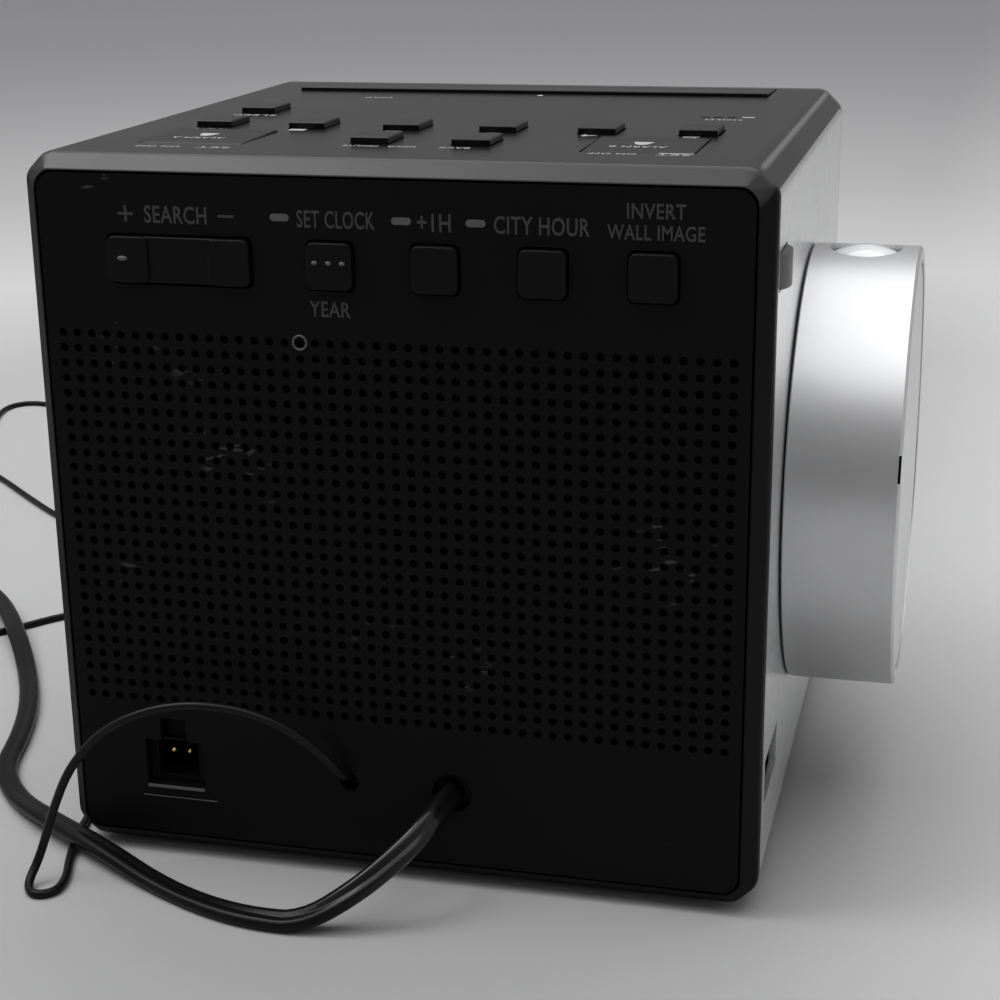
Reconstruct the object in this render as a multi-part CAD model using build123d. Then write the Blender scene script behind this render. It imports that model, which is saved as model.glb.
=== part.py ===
"""Projection alarm clock: a cube-shaped clock radio with a turning projector drum on one side.

Row frame: +Z up, display towards -Y, controls and loudspeaker grille towards +Y, drum towards -X.
The shapes are drawn in the case frame, whose zero is the middle of the case's underside, and are
moved once, when they are written, so that the feet stand on z = 0 and the box is centred on x = 0.
"""

import os
from math import cos, pi, radians, sin, tan

from build123d import *

# Case
case_width = 102.0
case_height = 102.0
case_depth = 98.0
wall = 2.2
half_width = case_width / 2
half_depth = case_depth / 2
corner_chamfer = 3.0
corner_blend = 2.6
rim_chamfer = 2.1
rim_blend = 1.2
rim_inner_blend = 0.4
joined = 0.1  # how far one shape runs into the next where they are one solid
cover_gap = 0.3
cover_corner = 2.5
cover_thickness = 2.2
ledge_width = 1.6
ledge_depth = 2.0
bezel_thickness = 3.0
foot_height = 1.2
foot_radius = 6.0
foot_sink = 0.6
foot_x = half_width - 11.0
foot_y_front = -half_depth + 9.0
foot_y_rear = half_depth - 18.0

# Silver plate on the drum side
plate_thickness = 1.0
plate_rear_band = 4.5

# Projector drum
drum_radius = 33.0
drum_reach = 16.0
drum_gap = 0.3
drum_y = 0.0
drum_z = case_height / 2
drum_wall = 2.2
drum_inner_chamfer = 0.2
drum_outer_chamfer = 0.4
hub_thickness = 1.5
hub_fit = 0.1
shoulder_length = 1.5
shoulder_wall = 4.0
stop_ring_length = 1.1
shaft_radius = 9.0
shaft_bore = 6.0
shaft_length = 8.4
bush_wall = 2.0
bush_flange = 3.0
bush_flange_thickness = 2.0
running_gap = 0.05
clip_width = 1.1
clip_groove = 0.7
clip_height = 4.2
clip_end_gap = 0.2
clip_side_gap = 0.1
clip_mouth = 12.0
dial_thickness = 1.9
dial_inset = 0.2
dial_gap = 0.3
dial_chamfer = 0.4
dial_pin_radius = 3.0
dial_pin_length = 1.1
dial_bore_depth = 1.3
rim_notch_height = 4.2
rim_notch_depth = 0.5
rim_notch_angle = 15.3
housing_half_width = 7.0
housing_top = 26.0
housing_bottom = -10.0
barrel_radius = 5.05
barrel_gap = 0.1
barrel_length = 12.0
barrel_sink = 1.2
lens_aperture_radius = 4.0
lens_radius = 4.6
lens_height = 2.6
lens_window_gap = 0.2
lens_stop = 0.4
lens_dome_radius = 12.0
lens_fit = 0.02
cam_radius = 25.0
cam_travel = 0.8
cam_angle = 30.0
cam_pin_radius = 0.8
cam_pin_gap = 0.3
cam_pin_tip_gap = 0.3
mini_lcd_side = 7.0
mini_lcd_thickness = 1.4
mini_lcd_seat = 6.0
lamp_radius = 2.5
lamp_length = 7.0
lamp_board_thickness = 1.2
lamp_board_width = 9.0
lamp_board_length = 11.0

# Keys
key_pitch = 14.3
key_gap = 0.25
key_proud = 0.9
key_edge_radius = 0.25
rear_key_edge_radius = 0.3
flange_margin = 0.9
flange_thickness = 1.4
flange_gap = 0.15
stem_radius = 1.5
top_key_width = 5.4
top_key_length = 7.2
top_key_first_x = half_width - 16.0
preset_row_y = half_depth - 34.4
time_row_y = half_depth - 19.6
sleep_row_y = preset_row_y - 18.0
alarm_key_width = 15.0
alarm_key_length = 14.0
alarm_key_proud = 0.3
alarm_key_rear_proud = 0.05
alarm_key_x = half_width - 19.8
snooze_width = case_width - 22.0
snooze_length = 12.2
snooze_proud = 0.6
snooze_stem_x = 22.0
snooze_front_gap = 0.3
rear_key_side = 6.3
rear_key_z = case_height - 13.9
rear_key_corner = 1.0
rocker_width = 20.2
rocker_x = half_width - 22.7
rear_key_first_x = rocker_x - 21.2
rocker_middle_proud = 0.45
rocker_pad = 5.8
rocker_axis_depth = 4.1
rocker_pin_radius = 0.9
rocker_stem_x = 7.0
rocker_clearance = 0.7
rocker_pin_end_gap = 0.2
lug_thickness = 1.8
lug_half_width = 2.0
lug_front = 1.9
rear_post_x = 36.0
rear_post_radius = 1.8
rear_post_drop = 6.2
hook_half_width = 3.0
hook_thickness = 1.2
hook_gap = 0.2
hook_rise = 1.0
hook_arm = 2.0

# Tact switches and boards
switch_side = 6.0
switch_height = 3.7
switch_bore_depth = 1.9
switch_bore_gap = 0.3
stem_entry = 0.6
board_thickness = 1.6
key_board_thickness = 1.2
top_board_drop = 11.5
top_board_gap = 1.5
top_board_front_gap = 0.4
top_board_rear = half_depth - 12.5
rear_board_setback = 7.9
rear_board_margin = 4.0
rear_board_drop = 8.0
rear_board_rise = 1.2
post_radius = 2.5
post_x = half_width - 6.5
post_y_front = -25.0
post_y_rear = 20.0

# Volume thumbwheel
wheel_radius = 6.5
wheel_thickness = 4.7
wheel_proud = 1.2
wheel_y = half_depth - 9.4
wheel_z = case_height - 13.7
wheel_gap = 0.3
wheel_chamfer = 0.3
wheel_teeth = 30
wheel_tooth_depth = 0.35
wheel_tooth_radius = 0.4
pot_shaft_radius = 1.5
pot_height = 5.2
pot_width = 8.0
pot_length = 9.2
pot_gap = 0.3
pot_shelf_thickness = 2.0

# Loudspeaker grille and loudspeaker
grille_pitch = 2.15
grille_columns = 44
grille_rows = 26
grille_hole_radius = 0.58
grille_z = case_height / 2 - 0.3
grille_skin = 1.0
backing_thickness = 1.1
backing_margin = 1.2
backing_gap = 0.2
backing_corner = 1.0
speaker_x = 12.9
speaker_z = case_height / 2 - 3.4
speaker_opening = 20.6
speaker_radius = 25.0
speaker_depth = 20.0
speaker_rim = 0.6
speaker_wall = 1.0
magnet_radius = 16.0
magnet_thickness = 8.0

# Sockets and cord holes in the rear cover
am_x = 33.9
am_z = 13.8
am_width = 9.0
am_height = 7.0
am_key_width = 4.0
am_key_height = 3.5
am_depth = 9.0
am_wall = 1.2
am_cavity_width = 6.2
am_cavity_height = 5.4
am_pin_pitch = 2.54
am_rim_depth = 1.4
am_fit = 0.1
am_flange_thickness = 1.2
am_cavity_rise = 0.3
am_back_wall = 1.5
am_pin_rise = 0.9
am_pin_radius = 0.35
am_pin_fit = 0.02
am_pin_point = 0.15
am_pin_back = 2.0
am_pin_tip = 2.4
antenna_hole_x = 7.2
antenna_hole_z = 13.7
antenna_hole_radius = 1.4
cord_hole_x = -8.0
cord_hole_z = 13.5
cord_hole_radius = 2.9
clamp_margin = 5.0
clamp_depth = 9.0

# Charging socket in the drum side
usb_y = half_depth - 14.3
usb_z = 16.3
usb_width = 13.1
usb_height = 5.7
usb_length = 14.0
usb_metal = 0.4
usb_window_width = 14.3
usb_window_height = 6.5
usb_tongue = 1.8
usb_tongue_half_width = 5.2
usb_tongue_rise = 0.6
usb_tongue_inset = 1.0
usb_back = 1.0
usb_setback = 0.8

# Display
aperture_width = case_width - 22.0
aperture_height = case_height - 40.0
aperture_z = case_height / 2 + 2.0
aperture_corner = 1.5
window_width = case_width - 9.0
window_height = case_height - 12.0
window_thickness = 1.5
window_corner = 2.0
window_gap = 0.1
bezel_chamfer = 0.8
rib_gap = 0.2
rib_thickness = 1.2
rib_depth = 5.0
rib_low = 12.0
rib_high = case_height - 18.0
bottom_rib_half_width = 30.0
board_post_radius = 1.3
board_post_inset = 1.4
board_post_margin = 5.0
panel_margin = 2.0
panel_thickness = 2.8
backlight_thickness = 4.0
main_board_gap = 1.6
main_board_width = case_width - 9.0
main_board_low = 9.0
main_board_high = case_height - 15.0
# Each part on the main board: x, z, width, height, depth
main_board_parts = (
    (-14, 48, 14, 14, 1.8), (22, 62, 9, 9, 1.6), (26, 30, 12, 6, 3), (-34, 26, 8, 8, 6), (4, 24, 5, 5, 7),
)

# Backup cell drawer in the far side
drawer_width = 24.0
drawer_height = 5.2
drawer_length = 26.0
drawer_y = -10.0
drawer_floor = 1.8
drawer_gap = 0.3
drawer_front = 3.8
drawer_seat = 1.2
grip_depth = 0.8
grip_half_width = 5.0
grip_height = 1.4
rail_width = 2.0
cell_radius = 10.0
cell_thickness = 3.2
cell_gap = 0.2
cell_chamfer = 0.3

# Power supply
transformer_width = 34.0
transformer_depth = 28.0
transformer_height = 30.0
transformer_y = -6.0
core_border = 5.0
winding_gap = 0.2
winding_overhang = 4.0
power_board_left_gap = 1.0
power_board_right = -18.0
power_board_front = -28.0
power_board_rear_gap = 6.0
power_post_inset = 4.0
power_post_rear = 20.0
# Each capacitor on the power board: x, y, radius, height
capacitors = ((-26, -16, 5.0, 16), (-40, -18, 4.0, 12), (-26, 4, 4.0, 12))

# Screws
screw_radius = 1.3
screw_head_radius = 2.5
screw_head_height = 0.9
screw_length = 8.0
screw_x = half_width - 13.0
screw_y = half_depth - 7.0
boss_half_width = 4.0
boss_height = 6.4
boss_floor = 0.3
boss_gap = 0.2

# Cords: the power lead is a flat twin lead, drawn as a round tube of equal section
lead_radius = 1.8
lead_width = 5.0
coil_middle_radius = 27.5
coil_band = 15.0
coil_height = 8.4
coil_centre = (154.0, -13.0)
antenna_radius = 0.75
antenna_coil_middle_radius = 8.0
antenna_coil_band = 5.8
antenna_coil_height = 4.6
antenna_coil_centre = (70.0, -75.0)
plug_place = (169.0, 36.0, 6.3)
plug_length = 22.0
plug_width = 25.0
plug_height = 15.0
plug_grip = 12.0
plug_chamfer = 3.0
grip_inset = 4.0
grip_wall = 1.5
blade_length = 17.0
blade_width = 6.3
blade_thickness = 1.5
blade_spacing = 12.7

# Places worked out from the sizes above
side_x = half_width
rear_y = half_depth
front_y = -half_depth
bezel_back = front_y + bezel_thickness
cover_front = rear_y - cover_thickness
top_inner = case_height - wall
drum_side = -side_x
drum_inner = drum_side - drum_gap
drum_outer = drum_side - drum_reach
hub_back = drum_inner - hub_thickness
dial_outer = drum_outer + dial_inset
dial_inner = dial_outer + dial_thickness
housing_outer = dial_inner + dial_gap
barrel_x = (drum_side + drum_outer) / 2
board_top = case_height - top_board_drop
switch_top = board_top + switch_height
flange_top = top_inner - flange_gap
rear_flange_back = cover_front - flange_gap
rear_board_y = cover_front - rear_board_setback
rear_switch_face = rear_board_y + switch_height
rear_post_z = rear_key_z - rear_post_drop
wheel_x = drum_side - wheel_proud + wheel_radius
pot_top = wheel_z - wheel_thickness / 2 - wheel_gap
grille_width = (grille_columns - 1) * grille_pitch
grille_height = (grille_rows - 1) * grille_pitch
lead_z = lead_radius - foot_height
wire_z = antenna_radius - foot_height
row_origin = Pos(drum_reach / 2, 0, foot_height)
pieces = {}


def block(x0, x1, y0, y1, z0, z1):
    return Pos((x0 + x1) / 2, (y0 + y1) / 2, (z0 + z1) / 2) * Box(x1 - x0, y1 - y0, z1 - z0)


def rod(radius, start, finish):
    along = Vector(finish) - Vector(start)
    seat = (Align.CENTER, Align.CENTER, Align.MIN)
    return Plane(Vector(start), z_dir=along) * Cylinder(radius, along.length, align=seat)


def upright_rod(radius, x, y, bottom, top):
    return rod(radius, (x, y, bottom), (x, y, top))


def level_rod(radius, x, z, front, rear):
    return rod(radius, (x, front, z), (x, rear, z))


def ring(outer, inner, start, finish):
    return rod(outer, start, finish) - rod(inner, start, finish)


def prism_y(face, y0, y1):
    """Extrudes a face drawn in x and z from y0 to y1."""
    return extrude(Plane.XZ.offset(-y1) * face, amount=y1 - y0)


def rounded(width, height, radius, x=0.0, z=0.0):
    return Pos(x, z) * RectangleRounded(width, height, radius)


def case_outline():
    outline = Pos(0, case_height / 2) * Rectangle(case_width, case_height)
    outline = chamfer(outline.vertices(), corner_chamfer)
    return fillet(outline.vertices(), corner_blend)


def inner_outline(inset):
    side = 2 * (wall + inset)
    return rounded(case_width - side, case_height - side, cover_corner, z=case_height / 2)


def top_key_places():
    presets = [top_key_first_x - key_pitch * i for i in range(6)]
    places = {"radio_key": (presets[0], preset_row_y)}
    for i in range(5):
        places[f"preset_key_{i + 1}"] = (presets[i + 1], preset_row_y)
    places["sleep_key"] = (presets[0], sleep_row_y)
    places["time_up_key"] = (presets[2], time_row_y)
    places["time_down_key"] = (presets[3], time_row_y)
    return places


def rear_key_places():
    names = ["clock_set_key", "summer_time_key", "time_zone_key", "image_turn_key"]
    return {name: rear_key_first_x - key_pitch * i for i, name in enumerate(names)}


def alarm_key_places():
    return {"alarm_key_a": alarm_key_x, "alarm_key_b": -alarm_key_x}


def in_drum(shape):
    """Moves a shape drawn about the drum's axis to the drum's place on the case."""
    return Pos(0, drum_y, drum_z) * shape


# Case and covers
def soft_rim(shell):
    """Chamfers the rear rim and rounds both edges of the chamfer."""
    shell = chamfer(shell.faces().sort_by(Axis.Y)[-1].edges(), rim_chamfer)
    outer = shell.edges().filter_by_position(Axis.Y, rear_y - rim_chamfer - 0.01, rear_y - rim_chamfer + 0.01)
    shell = fillet(outer, rim_blend)
    return fillet(shell.faces().sort_by(Axis.Y)[-1].edges(), rim_inner_blend)


def make_case_shell():
    shell = soft_rim(prism_y(case_outline(), bezel_back, rear_y))
    shell -= prism_y(inner_outline(0), bezel_back, rear_y)
    ledge_face = inner_outline(0) - inner_outline(ledge_width)
    shell += prism_y(ledge_face, cover_front - ledge_depth, cover_front)
    low = wheel_z - wheel_thickness / 2 - wheel_gap
    high = wheel_z + wheel_thickness / 2 + wheel_gap
    inside = drum_side + wall
    shell -= block(inside, inside + 2 * ledge_width, wheel_y, cover_front, low, high)
    shell -= plate_space()
    shell -= side_openings(drum_side, inside)
    for x, y in top_key_places().values():
        shell -= key_hole(x, y, top_key_width, top_key_length)
    for x in alarm_key_places().values():
        shell -= key_hole(x, time_row_y, alarm_key_width, alarm_key_length)
    half = snooze_width / 2 + key_gap
    snooze_rear = bezel_back + snooze_front_gap + snooze_length + key_gap
    shell -= block(-half, half, bezel_back, snooze_rear, top_inner, case_height)
    for x in (-post_x, post_x):
        for y in (post_y_front, post_y_rear):
            shell += rod(post_radius, (x, y, top_inner + joined), (x, y, board_top))
    shell += pot_shelf()
    shell += power_board_posts()
    shell += drawer_rails()
    reach = drawer_width / 2 + drawer_gap
    low = wall + drawer_floor - drawer_gap
    high = wall + drawer_floor + drawer_height + drawer_gap
    shell -= block(side_x - wall - cover_corner, side_x, drawer_y - reach, drawer_y + reach, low, high)
    for x in (-foot_x, foot_x):
        for y in (foot_y_front, foot_y_rear):
            shell -= rod(foot_radius, (x, y, 0), (x, y, foot_sink))
    for x in (-screw_x, screw_x):
        shell -= rod(screw_radius + running_gap, (x, screw_y, 0), (x, screw_y, wall))
    return shell


def key_hole(x, y, width, length):
    half_x = width / 2 + key_gap
    half_y = length / 2 + key_gap
    return block(x - half_x, x + half_x, y - half_y, y + half_y, top_inner, case_height)


def side_openings(x0, x1):
    """The hub bush hole, the thumbwheel slot and the charging socket's window."""
    hole = in_drum(rod(shaft_radius + running_gap + bush_wall, (x0, 0, 0), (x1, 0, 0)))
    slot = wheel_thickness / 2 + wheel_gap
    disc = upright_rod(wheel_radius + wheel_gap, wheel_x, wheel_y, wheel_z - slot, wheel_z + slot)
    hole += disc & block(x0, x1, 0, rear_y, 0, case_height)
    half = usb_window_width / 2
    hole += block(x0, x1, usb_y - half, usb_y + half,
                  usb_z - usb_window_height / 2, usb_z + usb_window_height / 2)
    return hole


def pot_shelf():
    inside = drum_side + wall
    top = pot_top - pot_height
    return block(inside, inside + pot_width + 2 * pot_gap, wheel_y - pot_length / 2, wheel_y + pot_length / 2,
                 top - pot_shelf_thickness, top)


def power_board_top():
    return usb_z - usb_height / 2


def power_board_posts():
    base = power_board_top() - board_thickness
    posts = Part()
    for x in (drum_side + wall + power_post_inset, power_board_right - power_post_inset):
        for y in (power_board_front + power_post_inset, power_post_rear):
            posts += rod(post_radius, (x, y, wall - joined), (x, y, base))
    return posts


def drawer_rails():
    inner = side_x - wall
    back = inner - drawer_length
    half = drawer_width / 2 + drawer_gap
    top = wall + drawer_floor + drawer_height
    floor_top = wall + drawer_floor - drawer_gap
    rails = block(back, inner + joined, drawer_y - half, drawer_y + half, wall - joined, floor_top)
    for side in (-1, 1):
        y = drawer_y + side * (half + rail_width / 2)
        rails += block(back, inner + joined, y - rail_width / 2, y + rail_width / 2, wall - joined, top)
    return rails


def plate_space():
    return block(drum_side, drum_side + plate_thickness, bezel_back, rear_y - plate_rear_band,
                 corner_chamfer, case_height - corner_chamfer)


def make_side_plate():
    plate = plate_space() & prism_y(case_outline(), bezel_back, rear_y - plate_rear_band)
    return plate - side_openings(drum_side, drum_side + plate_thickness)


def cover_openings():
    side = rear_key_side + 2 * key_gap
    openings = [rounded(side, side, rear_key_corner, x, rear_key_z) for x in rear_key_places().values()]
    openings.append(rounded(rocker_width + 2 * cover_gap, rear_key_side + 2 * cover_gap, rear_key_corner,
                            rocker_x, rear_key_z))
    key_z = am_z + (am_height + am_key_height) / 2
    socket = Pos(am_x, am_z) * Rectangle(am_width, am_height)
    socket += Pos(am_x, key_z - joined / 2) * Rectangle(am_key_width, am_key_height + joined)
    openings.append(socket)
    openings.append(Pos(antenna_hole_x, antenna_hole_z) * Circle(antenna_hole_radius))
    openings.append(Pos(cord_hole_x, cord_hole_z) * Circle(cord_hole_radius))
    return openings


def make_rear_cover():
    outline = inner_outline(cover_gap).face()
    openings = [opening.face().outer_wire() for opening in cover_openings()]
    holes = []
    for place in GridLocations(grille_pitch, grille_pitch, grille_columns, grille_rows):
        x, z = place.position.X, grille_z + place.position.Y
        holes.append(Wire.make_circle(grille_hole_radius, Plane((x, z, 0))))
    skin = Face(outline.outer_wire(), openings + holes)
    pocket = backing_outline(backing_margin)
    body = Face(outline.outer_wire(), openings + [pocket.face().outer_wire()])
    skin_back = rear_y - grille_skin
    cover = prism_y(skin, skin_back, rear_y) + prism_y(body, cover_front, skin_back)
    bosses = Part()
    for x in (-screw_x, screw_x):
        bottom = wall + boss_gap
        top = bottom + boss_height
        boss = block(x - boss_half_width, x + boss_half_width, screw_y - boss_half_width,
                     cover_front + joined, bottom, top)
        boss -= block(x - boss_half_width, x + boss_half_width, cover_front - ledge_depth - boss_gap,
                      cover_front, bottom, wall + ledge_width + boss_gap)
        bosses += boss - rod(screw_radius + running_gap, (x, screw_y, bottom), (x, screw_y, top - boss_floor))
    under = top_inner - ledge_width - hook_gap
    front = cover_front - ledge_depth - hook_gap
    for x in (-key_pitch, key_pitch):
        left, right = x - hook_half_width, x + hook_half_width
        bosses += block(left, right, front - hook_thickness, cover_front + joined, under - hook_arm, under)
        bosses += block(left, right, front - hook_thickness, front, under - joined, under + hook_rise)
    for x in (-rear_post_x, 0, rear_post_x):
        bosses += level_rod(rear_post_radius, x, rear_post_z, rear_board_y, cover_front + joined)
    for side in (-1, 1):
        inner = rear_key_z + side * (rear_key_side / 2 + flange_margin + rocker_clearance)
        outer = inner + side * lug_thickness
        axis_y = rear_y - rocker_axis_depth
        low, high = min(inner, outer), max(inner, outer)
        lug = block(rocker_x - lug_half_width, rocker_x + lug_half_width, axis_y - lug_front,
                    cover_front + joined, low, high)
        bosses += lug - upright_rod(rocker_pin_radius + running_gap, rocker_x, axis_y, low, high)
    return cover + bosses


def backing_outline(margin):
    """The outline of the sheet behind the grille, or of the pocket that it lies in."""
    return rounded(grille_width + 2 * margin, grille_height + 2 * margin, backing_corner, z=grille_z)


def make_grille_backing():
    back = rear_y - grille_skin
    face = backing_outline(backing_margin - backing_gap)
    face -= Pos(speaker_x, speaker_z) * Circle(speaker_opening)
    return prism_y(face, back - backing_thickness, back)


def make_front_bezel():
    bezel = prism_y(case_outline(), front_y, bezel_back)
    bezel = chamfer(bezel.faces().sort_by(Axis.Y)[0].edges(), bezel_chamfer)
    window = rounded(window_width, window_height, window_corner, z=case_height / 2)
    bezel -= prism_y(window, front_y, front_y + window_thickness)
    aperture = rounded(aperture_width, aperture_height, aperture_corner, z=aperture_z)
    bezel -= prism_y(aperture, front_y, bezel_back)
    rib_front, rib_back = bezel_back - joined, bezel_back + rib_depth
    rib_x = side_x - wall - rib_gap
    for side in (-1, 1):
        x0, x1 = sorted((side * rib_x, side * (rib_x - rib_thickness)))
        bezel += block(x0, x1, rib_front, rib_back, rib_low, rib_high)
        x = side * (main_board_width / 2 - board_post_inset)
        for z in (main_board_low + board_post_margin, main_board_high - board_post_margin):
            bezel += level_rod(board_post_radius, x, z, rib_front, main_board_front())
    reach = bottom_rib_half_width
    low = wall + rib_gap
    return bezel + block(-reach, reach, rib_front, rib_back, low, low + rib_thickness)


def main_board_front():
    return bezel_back + panel_thickness + backlight_thickness + main_board_gap


def make_display_window():
    width, height = window_width - 2 * window_gap, window_height - 2 * window_gap
    face = rounded(width, height, window_corner - window_gap, z=case_height / 2)
    return prism_y(face, front_y, front_y + window_thickness)


def display_face():
    margin = 2 * panel_margin
    return Pos(0, aperture_z) * Rectangle(aperture_width + margin, aperture_height + margin)


def make_display_panel():
    return prism_y(display_face(), bezel_back, bezel_back + panel_thickness)


def make_backlight():
    front = bezel_back + panel_thickness
    return prism_y(display_face(), front, front + backlight_thickness)


def make_main_board():
    y0 = main_board_front()
    y1 = y0 + board_thickness
    half = main_board_width / 2
    board = block(-half, half, y0, y1, main_board_low, main_board_high)
    for x, z, width, height, depth in main_board_parts:
        board += block(x - width / 2, x + width / 2, y1 - joined, y1 + depth, z - height / 2, z + height / 2)
    return board


def make_feet():
    feet = Part()
    for x in (-foot_x, foot_x):
        for y in (foot_y_front, foot_y_rear):
            feet += rod(foot_radius, (x, y, -foot_height), (x, y, foot_sink))
    return feet


def make_case_screws():
    screws = Part()
    for x in (-screw_x, screw_x):
        screws += rod(screw_radius, (x, screw_y, -joined), (x, screw_y, screw_length))
        screws += rod(screw_head_radius, (x, screw_y, -screw_head_height), (x, screw_y, 0))
    return screws


# Keys
def top_key(x, y, width, length, rear_proud, front_proud):
    """A key cap through the top wall, with its flange under the wall and its stem to the switch."""
    profile = Polyline(
        (y - length / 2, flange_top - joined), (y + length / 2, flange_top - joined),
        (y + length / 2, case_height + rear_proud), (y - length / 2, case_height + front_proud),
        close=True)
    cap = extrude(Plane.YZ.offset(x - width / 2) * make_face(profile), amount=width)
    cap = fillet(cap.faces().sort_by(Axis.Z)[-1].edges(), key_edge_radius)
    half_x = width / 2 + flange_margin
    half_y = length / 2 + flange_margin
    flange_bottom = flange_top - flange_thickness
    return cap + block(x - half_x, x + half_x, y - half_y, y + half_y, flange_bottom, flange_top)


def top_stem(x, y):
    return upright_rod(stem_radius, x, y, switch_top - stem_entry, flange_top - flange_thickness + joined)


def make_top_key(x, y):
    return top_key(x, y, top_key_width, top_key_length, key_proud, key_proud) + top_stem(x, y)


def make_alarm_key(x):
    key = top_key(x, time_row_y, alarm_key_width, alarm_key_length, alarm_key_rear_proud, alarm_key_proud)
    return key + top_stem(x, time_row_y)


def snooze_y():
    return bezel_back + snooze_front_gap + snooze_length / 2


def make_snooze_bar():
    y = snooze_y()
    profile = Polyline(
        (y - snooze_length / 2, flange_top - joined), (y + snooze_length / 2, flange_top - joined),
        (y + snooze_length / 2, case_height + snooze_proud), (y - snooze_length / 2, case_height),
        close=True)
    half = snooze_width / 2
    bar = extrude(Plane.YZ.offset(-half) * make_face(profile), amount=snooze_width)
    bar = fillet(bar.faces().sort_by(Axis.Z)[-1].edges(), key_edge_radius)
    bar += block(-half - flange_margin, half + flange_margin, y - snooze_length / 2,
                 y + snooze_length / 2 + flange_margin, flange_top - flange_thickness, flange_top)
    return bar + top_stem(-snooze_stem_x, y) + top_stem(snooze_stem_x, y)


def rear_cap(x, width, back, proud):
    cap = prism_y(rounded(width, rear_key_side, rear_key_corner, x, rear_key_z), back, rear_y + proud)
    return fillet(cap.faces().sort_by(Axis.Y)[-1].edges(), rear_key_edge_radius)


def make_rear_key(x):
    key = rear_cap(x, rear_key_side, rear_flange_back - joined, key_proud)
    half = rear_key_side / 2 + flange_margin
    front = rear_flange_back - flange_thickness
    key += block(x - half, x + half, front, rear_flange_back, rear_key_z - half, rear_key_z + half)
    return key + level_rod(stem_radius, x, rear_key_z, rear_switch_face - stem_entry, front + joined)


def make_tuning_rocker():
    back = cover_front - rocker_clearance
    front = back - flange_thickness
    rocker = rear_cap(rocker_x, rocker_width, back - joined, rocker_middle_proud)
    for side in (-1, 1):
        x = rocker_x + side * (rocker_width - rocker_pad) / 2
        rocker += rear_cap(x, rocker_pad, back, key_proud)
    half_x = rocker_width / 2 + flange_margin
    half_z = rear_key_side / 2 + flange_margin
    low, high = rear_key_z - half_z, rear_key_z + half_z
    rocker += block(rocker_x - half_x, rocker_x + half_x, front, back, low, high)
    axis_y = rear_y - rocker_axis_depth
    reach = rocker_clearance + lug_thickness - rocker_pin_end_gap
    rocker += upright_rod(rocker_pin_radius, rocker_x, axis_y, low - reach, high + reach)
    for side in (-1, 1):
        x = rocker_x + side * rocker_stem_x
        rocker += level_rod(stem_radius, x, rear_key_z, rear_switch_face - stem_entry, front + joined)
    return rocker


# Boards and switches
def make_top_key_board():
    half = half_width - wall - top_board_gap
    low = board_top - key_board_thickness
    board = block(-half, half, bezel_back + top_board_front_gap, top_board_rear, low, board_top)
    notch_x = wheel_x + wheel_radius + 1.2
    return board - block(-half, notch_x, wheel_y - wheel_radius - 2.0, top_board_rear, 0, case_height)


def make_rear_key_board():
    left = rear_key_first_x - 3 * key_pitch - switch_side / 2
    right = rocker_x + rocker_width / 2 + rear_board_margin
    low = rear_key_z - rear_board_drop
    high = rear_key_z + switch_side / 2 + rear_board_rise
    return block(left, right, rear_board_y - key_board_thickness, rear_board_y, low, high)


def upright_switch(x, y):
    half = switch_side / 2
    body = block(x - half, x + half, y - half, y + half, board_top, switch_top)
    bore = stem_radius + switch_bore_gap
    return body - rod(bore, (x, y, switch_top - switch_bore_depth), (x, y, switch_top))


def rear_switch(x):
    half = switch_side / 2
    body = block(x - half, x + half, rear_board_y, rear_switch_face, rear_key_z - half, rear_key_z + half)
    bore = stem_radius + switch_bore_gap
    back = rear_switch_face - switch_bore_depth
    return body - rod(bore, (x, back, rear_key_z), (x, rear_switch_face, rear_key_z))


def make_tact_switches():
    uprights = list(top_key_places().values())
    uprights += [(x, time_row_y) for x in alarm_key_places().values()]
    uprights += [(-snooze_stem_x, snooze_y()), (snooze_stem_x, snooze_y())]
    switches = [upright_switch(x, y) for x, y in uprights]
    switches += [rear_switch(x) for x in rear_key_places().values()]
    switches += [rear_switch(rocker_x - rocker_stem_x), rear_switch(rocker_x + rocker_stem_x)]
    return Compound([switch.solid() for switch in switches])


# Volume control
def make_volume_wheel():
    low, high = wheel_z - wheel_thickness / 2, wheel_z + wheel_thickness / 2
    wheel = chamfer(upright_rod(wheel_radius, wheel_x, wheel_y, low, high).edges(), wheel_chamfer)
    step = 2 * pi / wheel_teeth
    reach = wheel_radius - wheel_tooth_depth + wheel_tooth_radius
    places = [(wheel_x + reach * cos(i * step), wheel_y + reach * sin(i * step)) for i in range(wheel_teeth)]
    wheel -= [upright_rod(wheel_tooth_radius, x, y, low, high) for x, y in places]
    return wheel - upright_rod(pot_shaft_radius + running_gap, wheel_x, wheel_y, low, high)


def make_volume_pot():
    left = drum_side + wall + pot_gap
    pot = block(left, left + pot_width, wheel_y - pot_length / 2, wheel_y + pot_length / 2,
                pot_top - pot_height, pot_top)
    top = wheel_z + wheel_thickness / 2
    return pot + upright_rod(pot_shaft_radius, wheel_x, wheel_y, pot_top - joined, top)


# Loudspeaker
def spun(points):
    """Turns a profile of (radius, y) points about the loudspeaker's axis."""
    profile = make_face(Polyline([(r, y) for r, y in points], close=True))
    return Pos(speaker_x, 0, speaker_z) * revolve(profile, axis=Axis.Y)


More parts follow.
